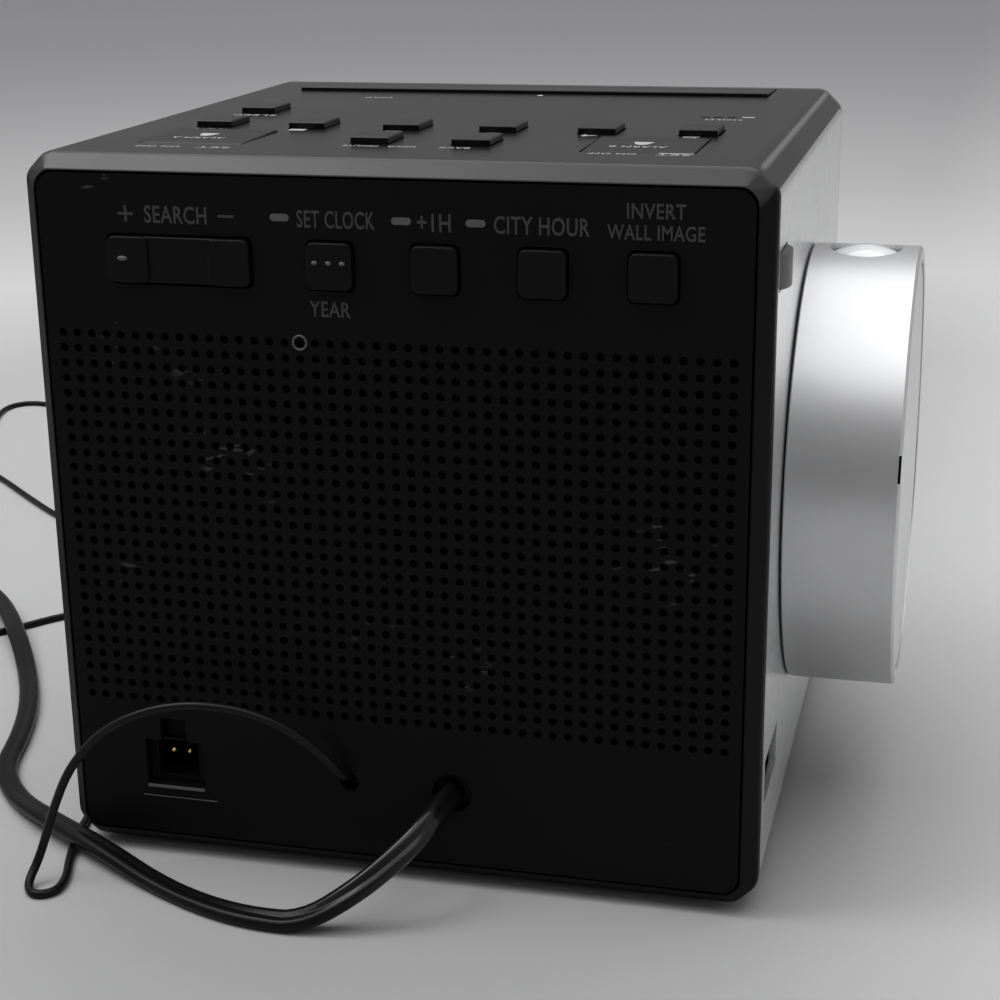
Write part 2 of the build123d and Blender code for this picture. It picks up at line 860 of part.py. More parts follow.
def make_speaker_frame():
    face = rear_y - grille_skin - backing_thickness - speaker_rim
    back = face - speaker_depth + magnet_thickness
    frame = spun([
        (speaker_radius, face), (speaker_opening, face), (speaker_opening, face - 2.0),
        (12.0, back + speaker_wall), (0, back + speaker_wall), (0, back), (13.0, back),
        (speaker_opening + speaker_wall, face - 2.2),
        (speaker_opening + speaker_wall, face - 1.2), (speaker_radius, face - 1.2)])
    magnet_back = back - magnet_thickness
    magnet = spun([(0, back), (0, magnet_back), (magnet_radius, magnet_back), (magnet_radius, back)])
    return Compound([frame.solid(), magnet.solid()])


def make_speaker_cone():
    face = rear_y - grille_skin - backing_thickness
    low = face - speaker_rim
    return spun([
        (speaker_radius - 0.4, face), (speaker_radius - 0.4, low), (speaker_opening - 0.6, low),
        (7.0, low - 7.4), (0, low - 5.6), (0, low - 5.0), (6.8, low - 6.6), (speaker_opening - 1.2, face)])


# Power supply and sockets
def make_transformer():
    half_x, half_y = transformer_width / 2, transformer_depth / 2
    front, rear, top = transformer_y - half_y, transformer_y + half_y, wall + transformer_height
    core = block(-half_x, half_x, front, rear, wall, top)
    hole_x = half_x - core_border
    core -= block(-hole_x, hole_x, front, rear, wall + core_border, top - core_border)
    inset = core_border + winding_gap
    winding = block(inset - half_x, half_x - inset, front - winding_overhang, rear + winding_overhang,
                    wall + inset, top - inset)
    return Compound([core.solid(), winding.solid()])


def make_power_board():
    top = power_board_top()
    board = block(drum_side + wall + power_board_left_gap, power_board_right, power_board_front,
                  cover_front - power_board_rear_gap, top - board_thickness, top)
    for x, y, radius, height in capacitors:
        board += rod(radius, (x, y, top - joined), (x, y, top + height))
    return board


def make_usb_socket():
    x0 = drum_side + plate_thickness + usb_setback
    x1 = x0 + usb_length
    y0, y1 = usb_y - usb_width / 2, usb_y + usb_width / 2
    z0, z1 = usb_z - usb_height / 2, usb_z + usb_height / 2
    shell = block(x0, x1, y0, y1, z0, z1)
    shell -= block(x0, x1 - usb_back, y0 + usb_metal, y1 - usb_metal, z0 + usb_metal, z1 - usb_metal)
    tongue_z = usb_z + usb_tongue_rise
    return shell + block(x0 + usb_tongue_inset, x1 - usb_back + joined, usb_y - usb_tongue_half_width,
                         usb_y + usb_tongue_half_width, tongue_z - usb_tongue / 2, tongue_z + usb_tongue / 2)


def am_pin_rods(radius, start, finish):
    return [
        rod(radius, (am_x + side * am_pin_pitch / 2, start, am_z + am_pin_rise),
            (am_x + side * am_pin_pitch / 2, finish, am_z + am_pin_rise))
        for side in (-1, 1)
    ]


def make_am_socket():
    """A keyed two-pin socket that fills the cover's stepped hole from behind."""
    back = rear_y - am_depth
    rim = rear_y - am_rim_depth
    half_w, half_h = am_width / 2, am_height / 2
    body = block(am_x - half_w + am_fit, am_x + half_w - am_fit, back, rim,
                 am_z - half_h + am_fit, am_z + half_h - am_fit)
    body += block(am_x - half_w - am_wall, am_x + half_w + am_wall,
                  cover_front - am_flange_thickness, cover_front,
                  am_z - half_h - am_wall, am_z + half_h + am_key_height + am_wall)
    cavity_w, cavity_h = am_cavity_width / 2, am_cavity_height / 2
    body -= block(am_x - cavity_w, am_x + cavity_w, back + am_back_wall, rim,
                  am_z - cavity_h + am_cavity_rise, am_z + cavity_h + am_cavity_rise)
    return body - am_pin_rods(am_pin_radius + am_pin_fit, back, back + am_back_wall)


def make_am_pins():
    pins = am_pin_rods(am_pin_radius, rear_y - am_depth - am_pin_back, rear_y - am_pin_tip)
    pins = [chamfer(pin.faces().sort_by(Axis.Y)[-1].edges(), am_pin_point) for pin in pins]
    return Compound([pin.solid() for pin in pins])


def make_cord_clamp():
    """The anchor block behind the cover that grips both cords where they come in."""
    bottom = wall + ledge_width + boss_gap
    return block(cord_hole_x - clamp_margin, antenna_hole_x + clamp_margin,
                 cover_front - clamp_depth, cover_front, bottom, cord_hole_z + clamp_margin)


# Backup cell drawer
def cell_x():
    return side_x - drawer_front - cell_radius


def make_battery_drawer():
    low = wall + drawer_floor
    high = low + drawer_height
    seat = low + drawer_seat
    half = drawer_width / 2
    drawer = block(side_x - drawer_length, side_x, drawer_y - half, drawer_y + half, low, high)
    drawer -= rod(cell_radius + cell_gap, (cell_x(), drawer_y, seat), (cell_x(), drawer_y, high))
    return drawer - block(side_x - grip_depth, side_x, drawer_y - grip_half_width, drawer_y + grip_half_width,
                          seat, seat + grip_height)


def make_coin_cell():
    low = wall + drawer_floor + drawer_seat
    cell = rod(cell_radius, (cell_x(), drawer_y, low), (cell_x(), drawer_y, low + cell_thickness))
    return chamfer(cell.edges(), cell_chamfer)


# Projector
def make_projector_bush():
    bore = shaft_radius + running_gap
    outer = bore + bush_wall
    inside = drum_side + wall
    end = inside + bush_flange_thickness
    bush = ring(outer, bore, (drum_side, 0, 0), (end, 0, 0))
    return in_drum(bush + ring(outer + bush_flange, bore, (inside, 0, 0), (end, 0, 0)))


def lens_hole():
    radius = barrel_radius + lens_window_gap
    return rod(radius, (barrel_x, 0, drum_radius / 2), (barrel_x, 0, drum_radius))


def make_drum_shell():
    shell = rod(drum_radius, (drum_outer, 0, 0), (drum_inner, 0, 0))
    shell = chamfer(shell.faces().sort_by(Axis.X)[-1].edges(), drum_inner_chamfer)
    shell = chamfer(shell.faces().sort_by(Axis.X)[0].edges(), drum_outer_chamfer)
    bore = drum_radius - drum_wall
    shell -= rod(bore, (drum_outer, 0, 0), (drum_inner, 0, 0))
    shoulder = drum_radius - shoulder_wall
    shell += ring(bore + joined, shoulder, (hub_back, 0, 0), (hub_back - shoulder_length, 0, 0))
    stop = dial_inner + joined
    shell += ring(bore + joined, shoulder, (stop + stop_ring_length, 0, 0), (stop, 0, 0))
    shell -= lens_hole()
    half = rim_notch_height / 2
    rim = drum_radius + rim_notch_depth
    notch = block(drum_outer, drum_outer + rim_notch_depth, bore - joined, rim, -half, half)
    return in_drum(shell - Rot(rim_notch_angle, 0, 0) * notch)


def make_drum_hub():
    hub = rod(drum_radius - drum_wall - hub_fit, (hub_back, 0, 0), (drum_inner, 0, 0))
    shaft_end = drum_inner + shaft_length
    hub += rod(shaft_radius, (hub_back, 0, 0), (shaft_end, 0, 0))
    groove_x = drum_side + wall + bush_flange_thickness + clip_end_gap
    groove_end = groove_x + clip_width + 2 * clip_side_gap
    hub -= ring(shaft_radius + 1, shaft_radius - clip_groove, (groove_x, 0, 0), (groove_end, 0, 0))
    return in_drum(hub - rod(shaft_bore, (hub_back, 0, 0), (shaft_end, 0, 0)))


def make_retaining_clip():
    clip_x = drum_side + wall + bush_flange_thickness + clip_end_gap + clip_side_gap
    groove = shaft_radius - clip_groove
    clip = ring(groove + clip_height, groove + running_gap, (clip_x, 0, 0), (clip_x + clip_width, 0, 0))
    half = clip_mouth / 2
    return in_drum(clip - block(clip_x, clip_x + clip_width, -half, half, -drum_radius, 0))


def make_projector_housing():
    half = housing_half_width
    housing = block(housing_outer, hub_back, -half, half, housing_bottom, housing_top)
    bore = barrel_radius + barrel_gap
    housing -= rod(bore, (barrel_x, 0, mini_lcd_seat), (barrel_x, 0, housing_top))
    housing -= rod(lamp_radius + barrel_gap, (barrel_x, 0, housing_bottom), (barrel_x, 0, mini_lcd_seat))
    slot = cam_pin_radius + cam_pin_gap
    reach = cam_travel + slot
    housing -= block(housing_outer, barrel_x, -slot, slot, cam_radius - reach, housing_top)
    pin_end = dial_inner - dial_pin_length
    return in_drum(housing + rod(dial_pin_radius, (housing_outer + joined, 0, 0), (pin_end, 0, 0)))


def make_lens_barrel():
    top = drum_radius - barrel_sink
    barrel = rod(barrel_radius, (barrel_x, 0, top - barrel_length), (barrel_x, 0, top))
    barrel -= rod(lens_aperture_radius, (barrel_x, 0, top - barrel_length), (barrel_x, 0, top))
    barrel -= rod(lens_radius, (barrel_x, 0, top - lens_height - lens_stop), (barrel_x, 0, top))
    pin_root = barrel_x - (barrel_radius + lens_aperture_radius) / 2
    pin_end = dial_inner - dial_bore_depth + cam_pin_tip_gap
    barrel += rod(cam_pin_radius, (pin_root, 0, cam_radius), (pin_end, 0, cam_radius))
    return in_drum(barrel)


def make_lens():
    seat = drum_radius - barrel_sink - lens_height - lens_stop
    top = seat + lens_height
    dome = Pos(barrel_x, 0, top - lens_dome_radius) * Sphere(lens_dome_radius)
    return in_drum(rod(lens_radius - lens_fit, (barrel_x, 0, seat), (barrel_x, 0, top)) & dome)


def make_mini_lcd():
    half = mini_lcd_side / 2
    top = mini_lcd_seat + mini_lcd_thickness
    return in_drum(block(barrel_x - half, barrel_x + half, -half, half, mini_lcd_seat, top))


def make_projection_lamp():
    base = housing_bottom - lamp_board_thickness
    half_x, half_y = lamp_board_width / 2, lamp_board_length / 2
    lamp = block(barrel_x - half_x, barrel_x + half_x, -half_y, half_y, base, housing_bottom)
    tip = housing_bottom + lamp_length
    return in_drum(lamp + rod(lamp_radius, (barrel_x, 0, housing_bottom - joined), (barrel_x, 0, tip)))


def make_focus_dial():
    """A round dial in the drum's end; its arc groove is off centre, so it lifts the lens pin as it turns."""
    radius = drum_radius - drum_wall - dial_gap
    dial = rod(radius, (dial_outer, 0, 0), (dial_inner, 0, 0))
    dial = chamfer(dial.faces().sort_by(Axis.X)[0].edges(), dial_chamfer)
    floor = dial_inner - dial_bore_depth
    dial -= rod(dial_pin_radius + running_gap, (floor, 0, 0), (dial_inner, 0, 0))
    offset = cam_travel / sin(radians(cam_angle))
    half = cam_pin_radius + cam_pin_gap
    groove = ring(cam_radius + half, cam_radius - half, (floor, offset, 0), (dial_inner, offset, 0))
    spread = (cam_radius + 4) * sin(radians(cam_angle + 8))
    dial -= groove & block(floor, dial_inner, -spread, spread, 15, drum_radius)
    return in_drum(dial)


# Cords
power_route = [
    (cord_hole_x, cover_front, cord_hole_z), (-7.5, 53.0, 13.0), (-4.2, 59.2, 9.6), (1.8, 63.6, 4.6),
    (9.8, 66.1, lead_z), (20.4, 65.2, lead_z), (32.6, 60.0, lead_z), (44.6, 53.7, lead_z + 2.2),
    (56.0, 47.3, lead_z + 2.0), (66.0, 39.0, lead_z), (73.2, 29.6, lead_z), (76.2, 17.6, lead_z),
    (81.2, 4.6, lead_z), (88.6, -9.0, lead_z), (97.4, -22.0, lead_z + 2.2), (106.6, -34.6, lead_z + 2.2),
    (115.6, -43.4, lead_z + 2.2), (127.4, -46.4, lead_z + 2.0), (139.6, -43.6, lead_z),
    (152.0, -40.6, lead_z),
]
power_tail_route = [
    (186.4, -9.0, 5.0), (187.6, 3.0, 4.0), (187.2, 15.0, 2.8), (183.8, 26.4, 2.8), (177.0, 34.0, 4.8),
    (169.4, 36.0, 6.3),
]
antenna_route = [
    (antenna_hole_x, cover_front, antenna_hole_z), (7.3, 50.4, 14.6), (9.8, 51.8, 18.6),
    (15.2, 53.0, 23.4), (22.6, 54.7, 26.3), (31.6, 55.8, 26.2), (39.8, 57.0, 23.0), (45.8, 58.1, 16.8),
    (48.9, 59.0, 9.4), (50.9, 60.1, 2.4), (51.7, 63.2, wire_z), (49.4, 66.0, wire_z),
    (46.6, 64.4, wire_z), (46.9, 60.4, wire_z), (49.0, 55.2, wire_z), (51.2, 48.4, wire_z),
    (52.9, 39.0, wire_z), (55.2, 26.0, wire_z), (58.6, 9.0, wire_z), (63.6, -9.0, wire_z),
    (71.0, -26.4, wire_z), (80.0, -39.0, wire_z), (88.6, -41.8, wire_z), (95.6, -36.2, wire_z),
    (101.6, -27.6, wire_z), (107.4, -21.4, wire_z), (114.0, -22.0, wire_z), (118.6, -29.6, wire_z),
    (120.8, -41.6, wire_z), (123.4, -56.0, wire_z), (130.8, -71.0, wire_z), (142.4, -86.4, wire_z),
    (154.6, -100.8, wire_z), (162.6, -112.0, wire_z), (163.4, -120.6, wire_z), (157.4, -123.0, wire_z),
    (149.6, -116.4, wire_z), (138.2, -105.8, wire_z), (125.4, -94.4, wire_z), (110.6, -84.4, wire_z),
    (96.0, -76.8, wire_z), (84.0, -68.8, wire_z), (73.4, -67.2, wire_z),
]
antenna_tail_route = [
    (69.0, -83.0, wire_z), (78.4, -83.4, wire_z), (89.0, -88.0, wire_z), (99.4, -99.4, wire_z),
    (109.6, -117.0, wire_z), (122.4, -137.6, wire_z), (138.0, -158.0, wire_z), (155.4, -174.8, wire_z),
    (169.4, -184.2, wire_z), (178.6, -186.2, wire_z), (182.8, -180.8, wire_z), (181.2, -172.0, wire_z),
    (178.4, -164.6, wire_z),
]


def tube(route, radius):
    """Straight runs joined by arcs, each as large as its two runs allow."""
    points = [Vector(point) for point in route]
    radii = []
    for before, here, after in zip(points, points[1:], points[2:]):
        turn = radians((here - before).get_angle(after - here))
        run = min((here - before).length, (after - here).length)
        radii.append(0.45 * run / tan(turn / 2))
    path = FilletPolyline(*points, radius=radii)
    section = Plane(path @ 0, z_dir=path % 0) * Circle(radius)
    solid = sweep(section, path=path)
    print("  radii", [round(value, 1) for value in radii])
    filled = solid.volume / (pi * radius**2 * path.length)
    print("  length", round(path.length, 1), "volume ratio", round(filled, 4))
    return solid


def make_cord_tubes():
    routes = {
        "power_lead": (power_route, lead_radius),
        "power_lead_tail": (power_tail_route, lead_radius),
        "antenna_wire": (antenna_route, antenna_radius),
        "antenna_wire_tail": (antenna_tail_route, antenna_radius),
    }
    tubes = {}
    for name, (route, radius) in routes.items():
        print(name)
        tubes[name] = tube(route, radius)
    return tubes


def coil(centre, middle, band, height):
    x, y = centre
    solid = ring(middle + band / 2, middle - band / 2, (x, y, -foot_height), (x, y, height - foot_height))
    return fillet(solid.edges(), 0.12 * band)


def make_power_plug():
    """A two-blade plug that lies beside its coil, with its grip towards the lead."""
    x, y, z = plug_place
    body = block(x - plug_grip - plug_length, x - plug_grip, y - plug_width / 2, y + plug_width / 2,
                 z - plug_height / 2, z + plug_height / 2)
    body = chamfer(body.edges().filter_by(Axis.X), plug_chamfer)
    grip = Plane((x - plug_grip, y, z), x_dir=(0, 1, 0), z_dir=(1, 0, 0))
    wide = grip * Rectangle(plug_width - 2 * plug_chamfer, plug_height - grip_inset)
    narrow = Rectangle(lead_width + 2 * grip_wall, 2 * (lead_radius + grip_wall))
    body += loft([wide, grip.offset(plug_grip) * narrow])
    tip = x - plug_grip - plug_length
    for side in (-1, 1):
        blade_y = y + side * blade_spacing / 2
        low, high = z - blade_width / 2, z + blade_width / 2
        body += block(tip - blade_length, tip + joined,
                      blade_y - blade_thickness / 2, blade_y + blade_thickness / 2, low, high)
    return body


def main():
    os.makedirs("parts", exist_ok=True)
    pieces.update({
        "case_shell": make_case_shell(),
        "side_plate": make_side_plate(),
        "rear_cover": make_rear_cover(),
        "grille_backing": make_grille_backing(),
        "front_bezel": make_front_bezel(),
        "display_window": make_display_window(),
        "display_panel": make_display_panel(),
        "backlight": make_backlight(),
        "main_board": make_main_board(),
        "feet": make_feet(),
        "case_screws": make_case_screws(),
        "snooze_bar": make_snooze_bar(),
        "tuning_rocker": make_tuning_rocker(),
        "top_key_board": make_top_key_board(),
        "rear_key_board": make_rear_key_board(),
        "tact_switches": make_tact_switches(),
        "volume_wheel": make_volume_wheel(),
        "volume_pot": make_volume_pot(),
        "speaker_frame": make_speaker_frame(),
        "speaker_cone": make_speaker_cone(),
        "transformer": make_transformer(),
        "power_board": make_power_board(),
        "usb_socket": make_usb_socket(),
        "am_socket": make_am_socket(),
        "am_pins": make_am_pins(),
        "cord_clamp": make_cord_clamp(),
        "battery_drawer": make_battery_drawer(),
        "coin_cell": make_coin_cell(),
        "projector_bush": make_projector_bush(),
        "drum_shell": make_drum_shell(),
        "drum_hub": make_drum_hub(),
        "retaining_clip": make_retaining_clip(),
        "projector_housing": make_projector_housing(),
        "lens_barrel": make_lens_barrel(),
        "lens": make_lens(),
        "mini_lcd": make_mini_lcd(),
        "projection_lamp": make_projection_lamp(),
        "focus_dial": make_focus_dial(),
        "power_lead_coil": coil(coil_centre, coil_middle_radius, coil_band, coil_height),
        "antenna_coil": coil(antenna_coil_centre, antenna_coil_middle_radius, antenna_coil_band,
                             antenna_coil_height),
        "power_plug": make_power_plug(),
    })
    pieces.update(make_cord_tubes())
    for name, (x, y) in top_key_places().items():
        pieces[name] = make_top_key(x, y)
    for name, x in alarm_key_places().items():
        pieces[name] = make_alarm_key(x)
    for name, x in rear_key_places().items():
        pieces[name] = make_rear_key(x)
    for name, shape in pieces.items():
        export_step(row_origin * shape, f"parts/{name}.step")


main()
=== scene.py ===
"""Looks of the projection alarm clock: finishes, prints, thumbwheel, lens, cords, light and camera."""

from math import atan2, cos, pi, radians, sin, tau

import bpy
import numpy as np
from mathutils import Matrix, Quaternion, Vector


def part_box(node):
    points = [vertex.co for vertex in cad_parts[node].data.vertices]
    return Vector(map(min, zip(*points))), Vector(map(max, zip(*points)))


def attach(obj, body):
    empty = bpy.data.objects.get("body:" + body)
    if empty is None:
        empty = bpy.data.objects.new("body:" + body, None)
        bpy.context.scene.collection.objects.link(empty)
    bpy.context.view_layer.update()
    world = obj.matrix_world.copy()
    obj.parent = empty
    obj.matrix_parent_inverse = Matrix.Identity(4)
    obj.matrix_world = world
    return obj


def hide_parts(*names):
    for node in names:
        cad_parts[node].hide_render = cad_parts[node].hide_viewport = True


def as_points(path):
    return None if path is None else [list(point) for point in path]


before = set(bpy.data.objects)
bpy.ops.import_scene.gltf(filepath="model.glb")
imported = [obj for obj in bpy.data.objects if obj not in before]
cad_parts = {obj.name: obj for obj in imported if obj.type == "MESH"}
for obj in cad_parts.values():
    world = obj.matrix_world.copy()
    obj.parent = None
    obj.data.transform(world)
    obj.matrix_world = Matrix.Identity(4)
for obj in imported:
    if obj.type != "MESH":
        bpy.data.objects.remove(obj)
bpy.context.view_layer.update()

MM = 0.001
shell_low, shell_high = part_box("case_shell")
CASE_X = (shell_low.x + shell_high.x) / 2
CASE_BOTTOM = shell_low.z
CASE_TOP = shell_high.z
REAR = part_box("rear_cover")[1].y
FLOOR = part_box("feet")[0].z
FEET_HEIGHT = 1.2


def spot(x, y, z):
    """A place given in millimetres from the middle of the case's underside."""
    return Vector((CASE_X + x * MM, y * MM, CASE_BOTTOM + z * MM))


# Camera, placed in millimetres
CAMERA_SPOT = (-76.47, 287.46, 136.0)
CAMERA_AZIMUTH = 3.392
CAMERA_ELEVATION = 0.309
CAMERA_ROLL = -0.012
CAMERA_LENS = 69.87


def add_camera():
    """A camera behind the clock, above it and towards its drum side."""
    back = Vector((
        sin(CAMERA_AZIMUTH) * cos(CAMERA_ELEVATION),
        -cos(CAMERA_AZIMUTH) * cos(CAMERA_ELEVATION),
        sin(CAMERA_ELEVATION),
    ))
    camera = bpy.data.objects.new("camera", bpy.data.cameras.new("camera"))
    bpy.context.scene.collection.objects.link(camera)
    camera.data.lens = CAMERA_LENS
    camera.data.clip_start = 0.01
    camera.location = spot(*CAMERA_SPOT)
    camera.rotation_mode = "QUATERNION"
    camera.rotation_quaternion = (-back).to_track_quat("-Z", "Y") @ Quaternion((0, 0, 1), CAMERA_ROLL)
    bpy.context.scene.camera = camera


add_camera()


# Shader expressions
class Value:
    """A shader socket that takes part in Python arithmetic."""

    def __init__(self, finish, socket):
        self.finish, self.socket = finish, socket

    def math(self, operation, *others):
        return self.finish.node("ShaderNodeMath", {"operation": operation}, **{
            str(i): value for i, value in enumerate((self, *others))})

    def __add__(self, other):
        return self.math("ADD", other)

    def __sub__(self, other):
        return self.math("SUBTRACT", other)

    def __rsub__(self, other):
        return (self * -1) + other

    def __mul__(self, other):
        return self.math("MULTIPLY", other)

    def __truediv__(self, other):
        return self.math("DIVIDE", other)

    def __pow__(self, other):
        return self.math("POWER", other)

    __radd__ = __add__
    __rmul__ = __mul__

    def clamped(self):
        return self.math("MAXIMUM", 0.0).math("MINIMUM", 1.0)

    def above(self, level, width):
        """0 below a level, 1 above it, with a soft step of the given width."""
        return ((self - level) / width + 0.5).clamped()


class Finish:
    """One material, or the world, and the nodes that make it."""

    def __init__(self, name, tree=None, coordinates="Object"):
        if tree is None:
            self.material = bpy.data.materials.new(name)
            self.material.use_nodes = True
            tree = self.material.node_tree
        self.tree = tree
        self.tree.nodes.clear()
        self.place = self.node("ShaderNodeTexCoord", output=coordinates)
        self.x, self.y, self.z = (
            self.node("ShaderNodeSeparateXYZ", output=axis, Vector=self.place) for axis in "XYZ")

    def node(self, kind, settings=None, output=0, **inputs):
        """Adds a node: its settings first, then the values or links of its sockets."""
        made = self.tree.nodes.new(kind)
        for key, value in (settings or {}).items():
            if key == "stops":
                ramp = made.color_ramp.elements
                while len(ramp) < len(value):
                    ramp.new(0.5)
                for element, (position, shade) in zip(ramp, value):
                    element.position = position
                    element.color = (*shade, 1.0)
            else:
                setattr(made, key, value)
        for key, value in inputs.items():
            key = int(key) if key.isdigit() else key.replace("_", " ")
            if isinstance(value, Value):
                self.tree.links.new(value.socket, made.inputs[key])
            else:
                made.inputs[key].default_value = value
        return None if output is None else Value(self, made.outputs[output])

    def noise(self, size, detail, roughness, stretch=(1, 1, 1)):
        """Noise whose features are about size metres across."""
        place = self.place
        if stretch != (1, 1, 1):
            place = self.node("ShaderNodeMapping", Vector=place, Scale=tuple(1 / s for s in stretch))
        return self.node("ShaderNodeTexNoise", output="Fac", Vector=place, Scale=1 / size,
                         Detail=detail, Roughness=roughness)

    def mix(self, factor, low, high):
        """A colour between two colours."""
        mixed = self.tree.nodes.new("ShaderNodeMix")
        mixed.data_type = "RGBA"
        for socket, value in ((mixed.inputs[0], factor), (mixed.inputs[6], low), (mixed.inputs[7], high)):
            if isinstance(value, Value):
                self.tree.links.new(value.socket, socket)
            else:
                socket.default_value = (*value, 1.0) if isinstance(value, tuple) else value
        return Value(self, mixed.outputs[2])

    def bump(self, height, distance):
        return self.node("ShaderNodeBump", Height=height, Distance=distance, Strength=1.0)

    def surface(self, **inputs):
        shader = self.node("ShaderNodeBsdfPrincipled", output="BSDF", **inputs)
        self.node("ShaderNodeOutputMaterial", output=None, Surface=shader)


def toned(shade, share):
    """A shade made darker or lighter."""
    return tuple(c * share for c in shade)


def wear(piece, finish):
    """Gives a piece one finish."""
    piece.data.materials.clear()
    piece.data.materials.append(finish.material)
    return piece


# Finishes, with their places in millimetres
BAND_DEPTH = 4.0
BAND_TOP_GAP = 2.4
RIM_REACH = 4.7
RIM_START_Y = 46.5
# Place of the painted highlight along one top edge of the case
HIGHLIGHT_EDGE_X = -48.5
HIGHLIGHT_END_Y = 44.0
HIGHLIGHT_DEPTH = 1.6
KEY_HIGHLIGHT_Z = 91.75
KEY_PROUD = 0.2
MAIN_BOARD_FACE = -35.9
POWER_BOARD_FACE = 13.5
LIFTED_HEIGHT = 4.0
BLADE_END_X = 134.9
BLADE_METAL = (0.7, 0.69, 0.67)
FLAKE_SIZE = 0.12
TAPED_SHARE = 0.62


def moulded(name, shade, roughness=0.42, grain=0.00025, depth=0.000012, coat=0.0, spread=0.25, level=0.5,
            metal_part=None):
    """Moulded plastic with a spark-eroded grain and soft handling marks; metal_part masks bare metal."""
    finish = Finish(name)
    smear = finish.noise(0.018, 4.0, 0.6)
    fine = finish.noise(grain, 2.0, 0.5)
    colour = finish.mix(smear, toned(shade, 1 - spread), toned(shade, 1 + spread))
    rough = smear * 0.12 + (roughness - 0.06)
    metallic = 0.0
    if metal_part is not None:
        metallic = metal_part(finish)
        colour = finish.mix(metallic, colour, BLADE_METAL)
        rough = rough - metallic * 0.12
    finish.surface(
        Base_Color=colour,
        Metallic=metallic,
        Roughness=rough,
        Specular_IOR_Level=level,
        Coat_Weight=coat,
        Coat_Roughness=0.12,
        Normal=finish.bump(fine, depth),
    )
    return finish


def plug_blades(finish):
    """1 on the plug's blades and 0 on its body."""
    return (CASE_X + BLADE_END_X * MM - finish.x).above(0, 0.0001)


def gloss_case():
    """Glossy black case, matt rear band, painted sheen on the rear top rim and a painted highlight on one
    edge.
    """
    finish = Finish("case_black")
    smear = finish.noise(0.018, 4.0, 0.6)
    fine = finish.noise(0.0003, 2.0, 0.5)
    # Painted sheen: the rear top rim is painted paler; it is also rougher, a satin finish.
    rim = (finish.y + finish.z).above(REAR + CASE_TOP - RIM_REACH * MM, 0.0004)
    rim = rim * finish.y.above(RIM_START_Y * MM, 0.0004)
    # Painted highlight: a thin pale line along the top edge on the -X side, stopping short of the rear.
    off_edge = (finish.x - (CASE_X + HIGHLIGHT_EDGE_X * MM)).math("ABSOLUTE").above(0.0003, 0.0003)
    edge = (1 - off_edge) * finish.z.above(CASE_TOP - HIGHLIGHT_DEPTH * MM, 0.0004)
    edge = edge * (1 - finish.y.above(HIGHLIGHT_END_Y * MM, 0.004))
    colour = finish.mix(smear, (0.004, 0.004, 0.0042), (0.0065, 0.0065, 0.007))
    colour = finish.mix(rim, colour, (0.03, 0.03, 0.031))
    colour = finish.mix(edge, colour, (0.15, 0.15, 0.152))
    grain = finish.bump(fine, 0.000004)
    gloss = finish.node("ShaderNodeBsdfPrincipled", output="BSDF", Base_Color=colour, Normal=grain,
                        Roughness=smear * 0.1 + rim * 0.12 + 0.18, Specular_IOR_Level=0.34)
    matt = finish.node("ShaderNodeBsdfPrincipled", output="BSDF", Base_Color=colour, Normal=grain,
                       Roughness=smear * 0.1 + 0.45, Specular_IOR_Level=0.08)
    band = finish.y.above(REAR - BAND_DEPTH * MM, 0.0006)
    band = band * (1 - finish.z.above(CASE_TOP - BAND_TOP_GAP * MM, 0.0006))
    surface = finish.node("ShaderNodeMixShader", output="Shader", **{"0": band, "1": gloss, "2": matt})
    finish.node("ShaderNodeOutputMaterial", output=None, Surface=surface)
    return finish


def scuffed_cover():
    """Textured black cover with a few clusters of tiny pale scuffs."""
    finish = Finish("cover_black")
    smear = finish.noise(0.02, 4.0, 0.6)
    fine = finish.noise(0.00028, 2.0, 0.5)
    cluster = finish.noise(0.022, 2.0, 0.5).above(0.645, 0.04)
    scuffs = finish.noise(0.0011, 1.0, 0.4, (2.2, 1, 0.7)).above(0.7, 0.03) * cluster
    colour = finish.mix(smear, (0.0022, 0.0022, 0.0025), (0.0038, 0.0038, 0.0041))
    finish.surface(
        Base_Color=finish.mix(scuffs * 0.6, colour, (0.06, 0.06, 0.062)),
        Roughness=smear * 0.12 + 0.44,
        Specular_IOR_Level=0.1,
        Normal=finish.bump(fine, 0.00002),
    )
    return finish


def worn_key():
    """Black rear keys with a painted highlight in grey along their top outer edge."""
    finish = Finish("key_black")
    smear = finish.noise(0.004, 4.0, 0.6)
    fine = finish.noise(0.00022, 2.0, 0.5)
    # Painted highlight: a broken grey line along the keys' top outer edge, where light catches it.
    painted_key_highlight = finish.z.above(CASE_BOTTOM + KEY_HIGHLIGHT_Z * MM, 0.0001)
    painted_key_highlight = painted_key_highlight * finish.y.above(REAR + KEY_PROUD * MM, 0.0002)
    colour = finish.mix(smear, (0.0028, 0.0028, 0.003), (0.0044, 0.0044, 0.0046))
    finish.surface(
        Base_Color=finish.mix(painted_key_highlight * smear.above(0.35, 0.2), colour, (0.45, 0.45, 0.452)),
        Roughness=smear * 0.12 + 0.36,
        Specular_IOR_Level=0.12,
        Normal=finish.bump(fine, 0.00001),
    )
    return finish


def satin_silver(name, shade, roughness):
    """Silver paint: fine metal flakes in a soft clear coat."""
    finish = Finish(name)
    flakes = finish.noise(FLAKE_SIZE * MM, 2.0, 0.6)
    cloud = finish.noise(0.03, 2.0, 0.5)
    finish.surface(
        Base_Color=finish.mix(flakes, toned(shade, 0.92), toned(shade, 1.08)),
        Metallic=0.75,
        Roughness=cloud * 0.05 + flakes * 0.04 + (roughness - 0.045),
        Coat_Weight=0.2,
        Coat_Roughness=0.35,
        Normal=finish.bump(flakes, 0.000003),
    )
    return finish


